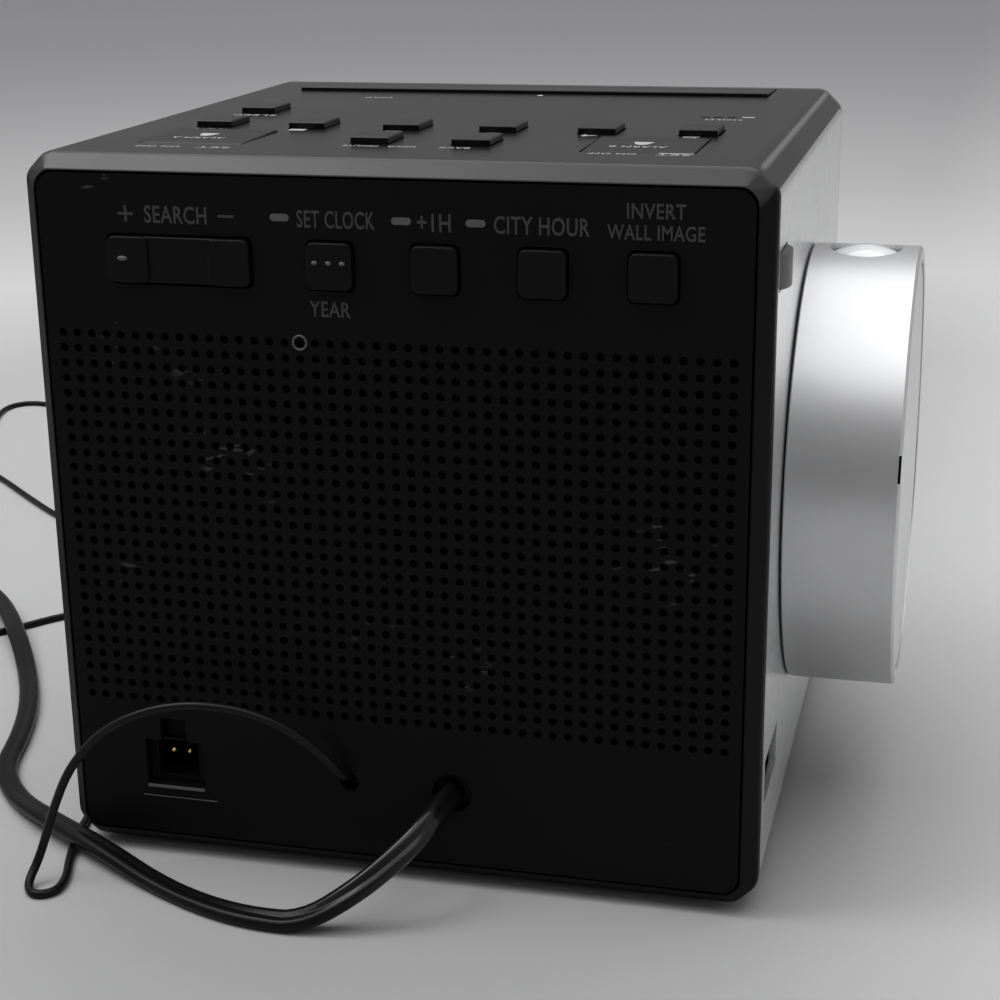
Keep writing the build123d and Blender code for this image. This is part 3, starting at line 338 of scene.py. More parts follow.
def metal(name, shade, roughness=0.28, brushed=(1, 1, 1), size=0.0004, tarnish=0.15):
    """Bare or plated metal; brushed draws its fine lines out along an axis."""
    finish = Finish(name)
    lines = finish.noise(size, 3.0, 0.6, brushed)
    stain = finish.noise(0.006, 3.0, 0.6)
    finish.surface(
        Base_Color=finish.mix(stain, toned(shade, 1 - tarnish), shade),
        Metallic=1.0,
        Roughness=lines * 0.16 + (roughness - 0.08),
        Normal=finish.bump(lines, 0.000006),
    )
    return finish


def glass(name, shade, roughness, alpha=1.0):
    """Clear or smoked plastic with a faint film of fingermarks."""
    finish = Finish(name)
    film = finish.noise(0.01, 3.0, 0.6)
    finish.surface(
        Base_Color=finish.mix(film, shade, toned(shade, 1.15)),
        Roughness=film * 0.01 + roughness,
        Alpha=alpha,
        IOR=1.49,
        Coat_Weight=0.5,
        Coat_Roughness=0.02,
    )
    return finish


def circuit_board(name, axis, face):
    """Green solder mask with fine tracks and pads; parts beyond the board's face are dark, tan or silver."""
    finish = Finish(name)
    depth = finish.y if axis == "y" else finish.z
    tracks = finish.node("ShaderNodeTexVoronoi", {"distance": "CHEBYCHEV"}, "Distance",
                         Vector=finish.place, Scale=420.0)
    lines = finish.node("ShaderNodeTexBrick", {"offset": 0.5}, "Fac", Vector=finish.place, Scale=90.0,
                        Mortar_Size=0.03, Brick_Width=0.7, Row_Height=0.12)
    mask = finish.mix(lines, (0.012, 0.075, 0.03), (0.02, 0.13, 0.05))
    pads = tracks.math("LESS_THAN", 0.16)
    board = finish.mix(pads, mask, (0.5, 0.5, 0.48))
    cells = finish.node("ShaderNodeTexVoronoi", None, "Color", Vector=finish.place, Scale=110.0)
    kind = finish.node("ShaderNodeSeparateXYZ", output="X", Vector=cells)
    parts = finish.mix(kind.above(0.62, 0.02), (0.014, 0.014, 0.016), (0.16, 0.12, 0.07))
    parts = finish.mix(kind.above(0.85, 0.02), parts, (0.5, 0.5, 0.5))
    finish.surface(
        Base_Color=finish.mix(depth.above(face, 0.0001), board, parts),
        Roughness=pads * -0.15 + 0.38,
        Normal=finish.bump(lines, 0.00002),
    )
    return finish


def paper_cone():
    """Pressed black paper with fibres and faint blotches."""
    finish = Finish("paper_cone")
    fibre = finish.noise(0.0006, 5.0, 0.7)
    blotch = finish.noise(0.004, 3.0, 0.6)
    finish.surface(
        Base_Color=finish.mix(blotch, (0.016, 0.015, 0.014), (0.03, 0.029, 0.027)),
        Roughness=fibre * 0.2 + 0.6,
        Normal=finish.bump(fibre, 0.00004),
    )
    return finish


def wound_core():
    """Laminated steel core with a taped winding in its middle."""
    finish = Finish("wound_core")
    low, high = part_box("transformer")
    middle = (low + high) / 2
    sheets = finish.node("ShaderNodeTexWave", {"wave_type": "BANDS", "bands_direction": "Y"}, "Fac",
                         Vector=finish.place, Scale=1400.0, Distortion=0.4)
    half_tape = (high.z - low.z) / 2 * TAPED_SHARE
    taped = 1 - (finish.z - middle.z).math("ABSOLUTE").above(half_tape, 0.0003)
    tape = finish.mix(finish.noise(0.002, 3.0, 0.6), (0.55, 0.38, 0.05), (0.68, 0.5, 0.1))
    steel_sheets = finish.mix(sheets, (0.09, 0.09, 0.095), (0.2, 0.2, 0.205))
    finish.surface(
        Base_Color=finish.mix(taped, steel_sheets, tape),
        Metallic=(1 - taped) * 0.8,
        Roughness=taped * -0.1 + 0.45,
        Normal=finish.bump(sheets, 0.00004),
    )
    return finish


def cord_jacket(name, shade, roughness, polish):
    """Cord jacket with a little handling dust, glossier where it's lifted off the table."""
    finish = Finish(name)
    scuff = finish.noise(0.004, 4.0, 0.65)
    fine = finish.noise(0.0005, 2.0, 0.5)
    finish.surface(
        Base_Color=finish.mix(scuff, toned(shade, 0.7), toned(shade, 1.5)),
        Roughness=scuff * 0.2 + (roughness - 0.1),
        Specular_IOR_Level=0.15,
        Coat_Weight=finish.z.above(CASE_BOTTOM + LIFTED_HEIGHT * MM, 0.004) * polish,
        Coat_Roughness=0.12,
        Normal=finish.bump(fine, 0.00002),
    )
    return finish


def lit(name, shade, strength):
    """A lit surface that is a little uneven."""
    finish = Finish(name)
    colour = finish.mix(finish.noise(0.01, 2.0, 0.5), toned(shade, 0.9), shade)
    finish.surface(Base_Color=colour, Roughness=0.5, Emission_Color=colour, Emission_Strength=strength)
    return finish


case_black = gloss_case()
cover_black = scuffed_cover()
backing_black = moulded("backing_black", (0.003, 0.003, 0.003), 0.55, 0.0003, 0.00002, level=0.1)
key_black = worn_key()
top_key_black = moulded("top_key_black", (0.004, 0.004, 0.0042), 0.24, 0.0003, 0.000004, level=0.26)
rib_black = moulded("rib_black", (0.09, 0.09, 0.09))
inner_black = moulded("inner_black", (0.006, 0.006, 0.006), 0.6, level=0.25)
bezel_black = moulded("bezel_black", (0.008, 0.008, 0.009), 0.16, 0.0006, 0.000002, coat=0.6)
foot_rubber = moulded("foot_rubber", (0.018, 0.018, 0.018), 0.7, 0.0004, 0.00003)
switch_grey = moulded("switch_grey", (0.05, 0.05, 0.055), 0.45)
pale_plastic = moulded("pale_plastic", (0.62, 0.62, 0.6), 0.45, spread=0.05)
drawer_black = moulded("drawer_black", (0.014, 0.014, 0.014), 0.4, 0.0003, 0.000015)
bush_white = moulded("bush_white", (0.6, 0.59, 0.56), 0.4, spread=0.06)
plug_black = moulded("plug_black", (0.014, 0.014, 0.014), 0.42, 0.0004, 0.00001, metal_part=plug_blades)
lamp_face = moulded("lamp_face", (0.82, 0.8, 0.7), 0.3, spread=0.04)
silver_paint = satin_silver("silver_paint", (0.65, 0.655, 0.66), 0.27)
drum_silver = satin_silver("drum_silver", (0.62, 0.622, 0.63), 0.38)
# Painted light: the drum hub is a pale grey to lighten the shaded gap round the drum.
drum_hub_painted_light = moulded("drum_hub_painted_light", (0.45, 0.45, 0.455), 0.45)
steel = metal("steel", (0.52, 0.52, 0.53))
spring_steel = metal("spring_steel", (0.6, 0.6, 0.6), 0.22, (6, 1, 1))
cell_steel = metal("cell_steel", (0.72, 0.72, 0.72), 0.16, (1, 8, 1), 0.0002, 0.06)
black_steel = metal("black_steel", (0.05, 0.05, 0.052), 0.4)
gold = metal("gold", (0.83, 0.58, 0.22), 0.2)
smoked = glass("smoked", (0.02, 0.022, 0.025), 0.03, 0.35)
lcd_glass = glass("lcd_glass", (0.006, 0.007, 0.008), 0.06)
# Painted reflection: the lens has a pale base so that the whole dome reads white.
lens_painted_reflection = glass("lens_painted_reflection", (0.8, 0.81, 0.82), 0.08)
main_green = circuit_board("main_green", "y", MAIN_BOARD_FACE * MM)
key_green = circuit_board("key_green", "z", CASE_TOP)
power_green = circuit_board("power_green", "z", CASE_BOTTOM + POWER_BOARD_FACE * MM)
cone_black = paper_cone()
core_steel = wound_core()
lead_black = cord_jacket("lead_black", (0.0045, 0.004, 0.004), 0.3, 0.45)
wire_black = cord_jacket("wire_black", (0.0045, 0.0045, 0.0045), 0.38, 0.1)
print_dim = moulded("print_dim", (0.048, 0.047, 0.049), 0.5, spread=0.12, level=0.2)
print_pale = moulded("print_pale", (0.42, 0.42, 0.425), 0.45, spread=0.1)
print_white = moulded("print_white", (0.62, 0.62, 0.63), 0.4, spread=0.05)
# Dark paint for painted shade: the notch in the drum's rim and the three slots on the top.
dark_painted_shade = moulded("dark_painted_shade", (0.002, 0.002, 0.002), 0.6, level=0.1)
edge_grey = moulded("edge_grey", (0.085, 0.085, 0.087), 0.4, level=0.4)
lit_figures = lit("lit_figures", (0.72, 0.82, 0.86), 0.7)


# Cords, in millimetres
LEAD_WIDTH = 3.5
LEAD_THICK = 2.0
LEAD_COIL_SPOT = (154.0, -13.0)
LEAD_COIL_RADII = (26.6, 30.6)
LEAD_COIL_ANGLES = (-pi / 2, 0.15)
WIRE_RADIUS = 0.65
WIRE_COIL_SPOT = (70.0, -75.0)
WIRE_COIL_RADII = (6.5, 8.0, 9.5)
WIRE_COIL_ANGLES = (pi / 2, 3 * pi / 2)
COIL_LAYERS = 4
COIL_POINTS = 16
LAYER_GAP = 0.1
CROSSING_LIFT = 1.7
EXIT_TWIST = radians(58)
TWIST_LENGTH = 58.0
lead_rest = LEAD_THICK / 2 - FEET_HEIGHT
lead_over = lead_rest + CROSSING_LIFT
wire_rest = WIRE_RADIUS - FEET_HEIGHT


def at_height(height, *places):
    """Places in plan, all at one height."""
    return [(x, y, height) for x, y in places]


lead_route = [
    (-8.0, 46.8, 13.5), (-7.5, 53.0, 13.0), (-4.2, 59.2, 9.6), (1.8, 63.6, 4.6),
    *at_height(lead_rest, (9.8, 66.1), (20.4, 65.2), (32.6, 60.0)),
    *at_height(lead_over, (44.6, 53.7), (56.0, 47.3)),
    *at_height(lead_rest, (66.0, 39.0), (73.2, 29.6), (76.2, 17.6), (81.2, 4.6), (88.6, -9.0)),
    *at_height(lead_over, (97.4, -22.0), (106.6, -34.6), (115.6, -43.4), (127.4, -47.0)),
    (139.6, -45.6, lead_rest),
]
lead_tail_route = [
    (184.6, 4.0, 6.2), (184.6, 15.6, 4.4), (182.4, 26.4, 4.0), (176.8, 33.8, 5.2), (169.0, 36.0, 6.3),
]
wire_route = [
    (7.2, 46.8, 13.7), (7.3, 50.4, 14.6), (9.8, 51.8, 18.6), (15.2, 53.0, 23.4), (22.6, 54.7, 26.3),
    (31.6, 55.8, 26.2), (39.8, 57.0, 23.0), (45.8, 58.1, 16.8), (48.9, 59.0, 9.4), (50.9, 60.1, 2.4),
    *at_height(
        wire_rest,
        (51.7, 63.2), (49.4, 66.0), (46.6, 64.4), (46.9, 60.4), (49.0, 55.2), (51.2, 48.4), (52.9, 39.0),
        (55.2, 26.0), (58.6, 9.0), (63.6, -9.0), (71.0, -26.4), (80.0, -39.0), (88.6, -41.8), (95.6, -36.2),
        (101.6, -27.6), (107.4, -21.4), (114.0, -22.0), (118.6, -29.6), (120.8, -41.6), (123.4, -56.0),
        (130.8, -71.0), (142.4, -86.4), (154.6, -100.8), (162.6, -112.0), (163.4, -120.6),
        (157.4, -123.0), (149.6, -116.4), (138.2, -105.8), (125.4, -94.4), (110.6, -84.4), (96.0, -76.8),
        (84.0, -68.2),
    ),
]
wire_tail_route = [
    (79.6, -84.9, 2.8), (89.6, -88.6, 0.4),
    *at_height(
        wire_rest,
        (99.4, -99.4), (109.6, -117.0), (122.4, -137.6), (138.0, -158.0), (155.4, -174.8),
        (169.4, -184.2), (178.6, -186.2), (182.8, -180.8), (181.2, -172.0), (178.4, -164.6),
    ),
]


def coil_turns(centre, radii, angles, rest, rise):
    """Points of a coil wound in layers: in along one layer, out along the next."""
    start, finish = angles
    columns = len(radii)
    steps = round((columns * COIL_LAYERS + (finish - start) / tau) * COIL_POINTS)
    points = []
    for i in range(steps + 1):
        turn = i / COIL_POINTS
        layer = min(int(turn / columns), COIL_LAYERS - 1)
        along = min(turn - layer * columns, columns)
        column = columns - 0.5 - along if layer % 2 == 0 else along - 0.5
        column = min(max(column, 0), columns - 1)
        low = int(min(column, columns - 2))
        radius = radii[low] + (radii[low + 1] - radii[low]) * (column - low)
        # The smooth line runs inside its control points, so they stand a little further out.
        radius /= cos(pi / COIL_POINTS) ** 0.75
        # The climb takes the last half turn of a layer and the first quarter turn of the next.
        climb = min(max((along - (columns - 0.25)) / 0.5, -0.5), 0.5) if layer < COIL_LAYERS - 1 else -0.5
        arrive = min(max((along + 0.25) / 0.5, 0.0), 1.0) if layer else 1.0
        height = rest + rise * (layer - 0.5 * (1 - arrive) + 0.5 + climb)
        angle = start + turn * tau
        points.append((centre[0] + radius * cos(angle), centre[1] + radius * sin(angle), height))
    return points


def smooth_line(name, points):
    """One smooth open spline with the given points, in millimetres, as its control points."""
    data = bpy.data.curves.new(name, "CURVE")
    data.dimensions = "3D"
    spline = data.splines.new("NURBS")
    spline.points.add(len(points) - 1)
    for point, place in zip(spline.points, points):
        point.co = (*spot(*place), 1.0)
    spline.order_u = 3
    spline.use_endpoint_u = True
    data.resolution_u = 6
    line = bpy.data.objects.new(name, data)
    bpy.context.scene.collection.objects.link(line)
    return line


def line_points(line):
    """The places that a curve with no bevel runs through."""
    mesh = bpy.data.meshes.new_from_object(line)
    places = [vertex.co.copy() for vertex in mesh.vertices]
    bpy.data.meshes.remove(mesh)
    return places


def run_length(places):
    """The length of the line through places."""
    return sum((b - a).length for a, b in zip(places, places[1:]))


def twin_section():
    """Outline of a flat twin lead: two round cores side by side with a shallow groove between."""
    core = LEAD_THICK / 2
    offset = (LEAD_WIDTH - LEAD_THICK) / 2
    outline = []
    for side in (1, -1):
        for i in range(9):
            angle = radians(-130 + i * 32.5)
            outline.append((side * (offset + core * cos(angle)), side * core * sin(angle)))
    return outline


def sweep_lead(name, places, outline):
    """A mesh swept along places: twisted where it leaves the cover, then with its width kept level."""
    count = len(outline)
    vertices, faces = [], []
    run = 0.0
    for i, place in enumerate(places):
        run += (place - places[max(i - 1, 0)]).length
        ahead = (places[min(i + 1, len(places) - 1)] - places[max(i - 1, 0)]).normalized()
        level = ahead.cross(Vector((0, 0, 1))).normalized()
        upward = level.cross(ahead)
        twist = EXIT_TWIST * (0.5 + 0.5 * cos(pi * min(run / (TWIST_LENGTH * MM), 1.0)))
        lowest = FLOOR + (LEAD_THICK + (LEAD_WIDTH - LEAD_THICK) * sin(twist)) / 2 * MM
        place = Vector((place.x, place.y, max(place.z, lowest)))
        side = level * cos(twist) + upward * sin(twist)
        over = upward * cos(twist) - level * sin(twist)
        vertices += [place + side * (x * MM) + over * (z * MM) for x, z in outline]
    for i in range(len(places) - 1):
        for j in range(count):
            a, b = i * count + j, i * count + (j + 1) % count
            faces.append((a, a + count, b + count, b))
    faces.append(tuple(range(count)))
    faces.append(tuple(reversed(range(len(vertices) - count, len(vertices)))))
    mesh = bpy.data.meshes.new(name)
    mesh.from_pydata(vertices, [], faces)
    lead = bpy.data.objects.new(name, mesh)
    bpy.context.scene.collection.objects.link(lead)
    return lead


def add_power_lead():
    """Flat mains lead: out of the cover, along the table, a loose coil and up into the plug."""
    turns = coil_turns(LEAD_COIL_SPOT, LEAD_COIL_RADII, LEAD_COIL_ANGLES, lead_rest, LEAD_THICK + LAYER_GAP)
    line = smooth_line("lead_line", lead_route + turns + lead_tail_route)
    places = line_points(line)
    lead = wear(sweep_lead("power_lead_cord", places, twin_section()), lead_black)
    lead.data.shade_smooth()
    bpy.data.objects.remove(line)
    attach(lead, "case")
    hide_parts("power_lead", "power_lead_tail", "power_lead_coil")
    run = run_length(places)
    tuple(places[0])
    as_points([tuple(p) for p in places[::2]] + [tuple(places[-1])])


def add_antenna_wire():
    """Thin antenna wire: an arch out of the cover, a run on the table, a small coil and a bare end."""
    turns = coil_turns(WIRE_COIL_SPOT, WIRE_COIL_RADII, WIRE_COIL_ANGLES, wire_rest, 2 * WIRE_RADIUS)
    line = smooth_line("antenna_wire_cord", wire_route + turns + wire_tail_route)
    places = line_points(line)
    line.data.bevel_depth = WIRE_RADIUS * MM
    line.data.bevel_resolution = 3
    line.data.use_fill_caps = True
    wear(line, wire_black)
    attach(line, "case")
    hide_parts("antenna_wire", "antenna_wire_tail", "antenna_coil")
    run = run_length(places)
    tuple(places[0])


add_power_lead()
add_antenna_wire()


# Small marks and prints, in millimetres
REAR_Y = 49.0
TOP_Z = 102.0
KEY_FACE_Y = 49.9
PRINT_THICKNESS = 0.03
REAR_WORD_WEIGHT = 0.014
LETTER_GAP = 1.06
FACING = {
    "rear": ((-1, 0, 0), (0, 0, 1)),
    "front": ((1, 0, 0), (0, 0, 1)),
    "top": ((1, 0, 0), (0, 1, 0)),
    "far_side": ((0, 1, 0), (0, 0, 1)),
    "under": ((1, 0, 0), (0, -1, 0)),
}


def deselect():
    """Clears the selection, so that an operator acts on the new piece alone."""
    bpy.ops.object.select_all(action="DESELECT")


def select_only(*pieces):
    deselect()
    for piece in pieces:
        piece.select_set(True)
    bpy.context.view_layer.objects.active = pieces[0]


def edit_faces(piece, chosen):
    """Opens a piece in edit mode with only the chosen faces selected."""
    bpy.ops.object.mode_set(mode="EDIT")
    bpy.ops.mesh.select_all(action="DESELECT")
    bpy.ops.object.mode_set(mode="OBJECT")
    for face in piece.data.polygons:
        face.select = chosen(face)
    bpy.ops.object.mode_set(mode="EDIT")


def laid(side):
    """The turn that lays a flat drawing on one side of the case."""
    right, up = (Vector(v) for v in FACING[side])
    return Matrix((right, up, right.cross(up))).transposed()


def lay(piece, side, middle, size, thickness=PRINT_THICKNESS):
    """Fits a flat piece to a size in millimetres and lays it on one side of the case, back down."""
    points = np.array([v.co for v in piece.data.vertices])
    low, high = points.min(axis=0), points.max(axis=0)
    span = np.maximum(high - low, 1e-9)
    target = np.array([*size, thickness]) * MM
    fitted = (points - low) / span * target - target * (0.5, 0.5, 0.0)
    turn = laid(side)
    place = spot(*middle)
    for vertex, co in zip(piece.data.vertices, fitted):
        vertex.co = place + turn @ Vector(co)
    piece.data.update()
    return piece


def word(text, side, middle, size, weight=0.0):
    """A word as a flat mesh; weight thickens its strokes."""
    deselect()
    bpy.ops.object.text_add()
    lettering = bpy.context.object
    lettering.data.body = text
    lettering.data.resolution_u = 3
    lettering.data.extrude = 0.01
    lettering.data.offset = weight
    lettering.data.space_character = LETTER_GAP
    bpy.ops.object.convert(target="MESH")
    return lay(bpy.context.object, side, middle, size)


def flat_shape(corners, side, middle, size, thickness=PRINT_THICKNESS, stretch=None):
    """A flat plate drawn from a regular polygon, given a thickness, then fitted and laid."""
    deselect()
    bpy.ops.mesh.primitive_circle_add(vertices=corners, radius=1, fill_type="NGON")
    piece = bpy.context.object
    if stretch:
        for vertex in piece.data.vertices:
            vertex.co = stretch(vertex.co)
    bpy.ops.object.mode_set(mode="EDIT")
    bpy.ops.mesh.select_all(action="SELECT")
    bpy.ops.mesh.extrude_region_move(TRANSFORM_OT_translate={"value": (0, 0, 0.1)})
    bpy.ops.mesh.select_all(action="SELECT")
    bpy.ops.mesh.normals_make_consistent(inside=False)
    bpy.ops.object.mode_set(mode="OBJECT")
    return lay(piece, side, middle, size, thickness)


def pill(side, middle, size):
    """A short bar with round ends."""
    bend = size[1] / size[0]
    reach = 1 - bend

    def stretch(co):
        return Vector((co.x * bend + (reach if co.x > 0 else -reach), co.y * bend, co.z))
    return flat_shape(24, side, middle, size, stretch=stretch)


def bar(side, middle, size, thickness=PRINT_THICKNESS):
    """A plain bar with square corners."""
    return flat_shape(4, side, middle, size, thickness, lambda co: Matrix.Rotation(pi / 4, 3, "Z") @ co)


def bell(side, middle, size):
    """A bell outline: a dome over a flared skirt with a flat foot."""
    def stretch(co):
        flare = 1.35 if co.y < -0.3 else 1.0
        return Vector((co.x * flare, max(co.y, -0.75), co.z))
    return flat_shape(20, side, middle, size, stretch=stretch)


def dome(place, radii):
    """A low round bump."""
    deselect()
    bpy.ops.mesh.primitive_uv_sphere_add(segments=16, ring_count=8, radius=1)
    bump = bpy.context.object
    for vertex in bump.data.vertices:
        vertex.co = spot(*place) + Vector([c * r for c, r in zip(vertex.co, radii)]) * MM
    bump.data.shade_smooth()
    return bump


def joined(name, pieces, finish, body):
    """Joins small pieces into one, names it and puts it on a body."""
    select_only(*pieces)
    if len(pieces) > 1:
        bpy.ops.object.join()
    whole = bpy.context.object
    whole.name = name
    whole.data.name = name
    wear(whole, finish)
    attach(whole, body)


def rear_word(text, left, right, z, height):
    """A word on the rear cover, between two places across it."""
    return word(text, "rear", ((left + right) / 2, REAR_Y, z), (left - right, height), REAR_WORD_WEIGHT)


def top_word(text, left, right, y, height, z=TOP_Z):
    """A word on the top, upright from the front, between two places across it."""
    return word(text, "top", ((left + right) / 2, y, z), (left - right, height))


KEY_ROW = 94.2
KEY_ROW_HEIGHT = 2.35
SIGN_SIZE = (2.2, 0.36)
SIGN_HALF = (0.36, 0.92)
SIGN_HALF_RISE = 0.64
PILL_ROW = 94.3
PILL_SIZE = (2.65, 1.0)
PILL_PLACES = (13.9, -2.75, -12.7)


def add_rear_prints():
    """Key names over and under the rear keys, with a pill before three of them."""
    pieces = [
        bar("rear", (35.7, REAR_Y, KEY_ROW), SIGN_SIZE),
        bar("rear", (35.7, REAR_Y, KEY_ROW + SIGN_HALF_RISE), SIGN_HALF),
        bar("rear", (35.7, REAR_Y, KEY_ROW - SIGN_HALF_RISE), SIGN_HALF),
        rear_word("SEARCH", 33.0, 24.1, KEY_ROW, KEY_ROW_HEIGHT),
        bar("rear", (21.4, REAR_Y, KEY_ROW), SIGN_SIZE),
        rear_word("SET CLOCK", 11.5, 0.8, KEY_ROW, KEY_ROW_HEIGHT),
        rear_word("+1H", -4.9, -9.4, KEY_ROW, KEY_ROW_HEIGHT),
        rear_word("CITY HOUR", -15.1, -27.6, KEY_ROW, KEY_ROW_HEIGHT),
        rear_word("INVERT", -32.3, -39.8, 96.5, 1.95),
        rear_word("WALL IMAGE", -29.8, -42.2, 93.8, 1.95),
        rear_word("YEAR", 10.2, 4.5, 82.3, 2.1),
    ]
    joined("rear_prints", pieces, print_dim, "case")
    pills = [pill("rear", (x, REAR_Y, PILL_ROW), PILL_SIZE) for x in PILL_PLACES]
    joined("rear_pills", pills, edge_grey, "case")


FIRST_PRESET_X = 20.7
PRESET_PITCH = 14.3
PRESET_ROW = 19.9
# Text, its two ends across the top, its row and its height
TOP_WORDS = [
    ("RADIO", 37.4, 32.2, 21.0, 1.3),
    ("SLEEP", 37.8, 31.0, 3.2, 1.3),
    ("NAP", 25.3, 20.8, -23.8, 1.1),
    ("ON OFF", 37.6, 31.2, 40.2, 1.2),
    ("SET", 28.6, 24.0, 40.2, 1.2),
    ("HOUR   MINUTE", 9.4, -0.8, 35.5, 1.2),
    ("BACK", -4.0, -8.4, 35.5, 1.2),
    ("ON OFF", -25.0, -31.4, 37.8, 1.2),
    ("SET", -34.0, -38.4, 37.8, 1.2),
    ("SCREEN LIGHT", -28.6, -37.4, 24.0, 1.1),
    ("HOLD", -34.6, -40.0, -1.2, 1.2),
]
RESET_SLOT_PLACES = (-34.2, -36.2, -38.2)
ALARM_KEYS = (("alarm_key_a", "A", 31.2), ("alarm_key_b", "B", -31.2))


def add_top_prints():
    """Key names and small marks on the top, three slots as painted shade, and the prints of the two alarm
    keys.
    """
    pieces = []
    for i in range(5):
        x = FIRST_PRESET_X - PRESET_PITCH * i
        pieces.append(top_word(str(i + 1), x + 2.0, x - 0.4, PRESET_ROW, 1.7))
    pieces += [top_word(*entry) for entry in TOP_WORDS]
    joined("top_prints", pieces, print_pale, "case")
    marks = [
        flat_shape(16, "top", (-2.8, -30.6, TOP_Z), (1.0, 1.0)),
        bar("top", (-40.6, -4.6, TOP_Z), (1.8, 0.6)),
        bar("top", (-36.4, 36.6, TOP_Z), (4.6, 0.35)),
    ]
    joined("top_marks", marks, print_white, "case")
    # Painted shade: the three slots are flat dark bars on the top.
    slots = [bar("top", (x, -4.3, TOP_Z), (1.3, 0.7)) for x in RESET_SLOT_PLACES]
    joined("reset_slots_painted_shade", slots, dark_painted_shade, "case")
    for name, letter, x in ALARM_KEYS:
        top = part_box(name)[1].z
        face = (top - CASE_BOTTOM) / MM
        pieces = [
            top_word("ALARM " + letter, x + 4.6, x - 3.2, 31.8, 1.5, face - 0.14),
            bell("top", (x + 0.6, 28.4, face - 0.11), (2.8, 3.2)),
        ]
        joined(name + "_print", pieces, print_pale, name)


def add_key_marks():
    """Moulded dots on the clock key and the rocker."""
    dots = [dome((x, KEY_FACE_Y, 88.6), (0.42, 0.3, 0.3)) for x in (9.0, 7.1, 5.2)]
    joined("set_key_dots", dots, edge_grey, "clock_set_key")
    joined("rocker_dot", [dome((36.2, KEY_FACE_Y, 88.3), (0.75, 0.3, 0.35))], edge_grey, "tuning_rocker")


RING_SPOT = (11.83, REAR_Y, 77.6)
RING_RADIUS = 0.95
RING_THICKNESS = 0.14


def add_hole_ring():
    """A small raised ring round one hole of the top row."""
    deselect()
    bpy.ops.mesh.primitive_torus_add(major_segments=28, minor_segments=8, major_radius=RING_RADIUS * MM,
                                     minor_radius=RING_THICKNESS * MM)
    ring = bpy.context.object
    turn = laid("rear")
    for vertex in ring.data.vertices:
        vertex.co = spot(*RING_SPOT) + turn @ vertex.co
    ring.data.shade_smooth()
    joined("hole_ring", [ring], edge_grey, "case")


def add_socket_ledges():
    """Raised ledges that guide the antenna plug, under the socket; their pale grey is a painted highlight.
    """
    pieces = [
        bar("rear", (33.9, REAR_Y - 0.02, 9.95), (8.8, 0.36), 0.3),
        bar("rear", (33.4, REAR_Y - 0.02, 8.3), (11.6, 0.14), 0.1),
    ]
    joined("socket_ledges", pieces, edge_grey, "case")


WHEEL_SPOT = (-45.7, 39.6, 88.3)
WHEEL_RADIUS = 6.5
WHEEL_HEIGHT = 4.7
WHEEL_TEETH = 44
TOOTH_HEIGHT = 0.35
TOOTH_ROUNDING = 0.12


def add_thumbwheel():
    """Thumbwheel with raised ribs round its rim."""
    deselect()
    bpy.ops.mesh.primitive_cylinder_add(vertices=WHEEL_TEETH * 2, radius=WHEEL_RADIUS * MM,
                                        depth=WHEEL_HEIGHT * MM)
    wheel = bpy.context.object

    def every_other_side(face):
        step = round(atan2(face.center.y, face.center.x) / tau * WHEEL_TEETH * 2 - 0.5)
        return abs(face.normal.z) < 0.5 and step % 2 == 0
    edit_faces(wheel, every_other_side)
    bpy.ops.mesh.extrude_region_shrink_fatten(TRANSFORM_OT_shrink_fatten={"value": -TOOTH_HEIGHT * MM})
    bpy.ops.object.mode_set(mode="OBJECT")
    for vertex in wheel.data.vertices:
        vertex.co += spot(*WHEEL_SPOT)
    rim = wheel.modifiers.new("rim", "BEVEL")
    rim.width = TOOTH_ROUNDING * MM
    rim.segments = 2
    rim.limit_method = "ANGLE"
    bpy.ops.object.modifier_apply(modifier="rim")
    wheel.name = "ribbed_wheel"
    wear(wheel, rib_black)
    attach(wheel, "volume_wheel")
    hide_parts("volume_wheel")


LENS_SPOT = (-59.0, 0.0)
LENS_RADIUS = 4.75
LENS_SEAT = 80.6
LENS_SHOULDER = 83.2
LENS_CROWN = 84.5
LENS_RINGS = (0.0, 0.2, 0.4, 0.6, 0.8, 0.93)


def add_lens():
    """Convex front lens of the projector: a short cylinder drawn up into a dome."""
    deselect()
    bpy.ops.mesh.primitive_cylinder_add(vertices=48, radius=LENS_RADIUS * MM,
                                        depth=(LENS_SHOULDER - LENS_SEAT) * MM)
    lens = bpy.context.object
    edit_faces(lens, lambda face: face.normal.z > 0.5)
    for outer, inner in zip(LENS_RINGS, LENS_RINGS[1:]):
        bpy.ops.mesh.inset(thickness=(inner - outer) * LENS_RADIUS * MM, depth=0)
    bpy.ops.object.mode_set(mode="OBJECT")
    for vertex in lens.data.vertices:
        out = min((vertex.co.x ** 2 + vertex.co.y ** 2) ** 0.5 / (LENS_RADIUS * MM), 1.0)
        if vertex.co.z > 0:
            vertex.co.z += (LENS_CROWN - LENS_SHOULDER) * MM * (1 - out ** 2)
        vertex.co += spot(*LENS_SPOT, (LENS_SEAT + LENS_SHOULDER) / 2)
    select_only(lens)
    bpy.ops.object.shade_smooth_by_angle(angle=radians(40))
    lens.name = "front_lens"
    wear(lens, lens_painted_reflection)
    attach(lens, "lens_barrel")
    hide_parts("lens")


# Display figures
PANEL_Y = -46.0
FIGURE_THICKNESS = 0.05
BAR_WIDTH = 0.15
BAR_GAP = 0.95
DIGIT_BARS = {
    "0": "abcdef", "1": "bc", "2": "abged", "4": "fgbc", "5": "afgcd", "7": "abc", "8": "abcdefg",
}
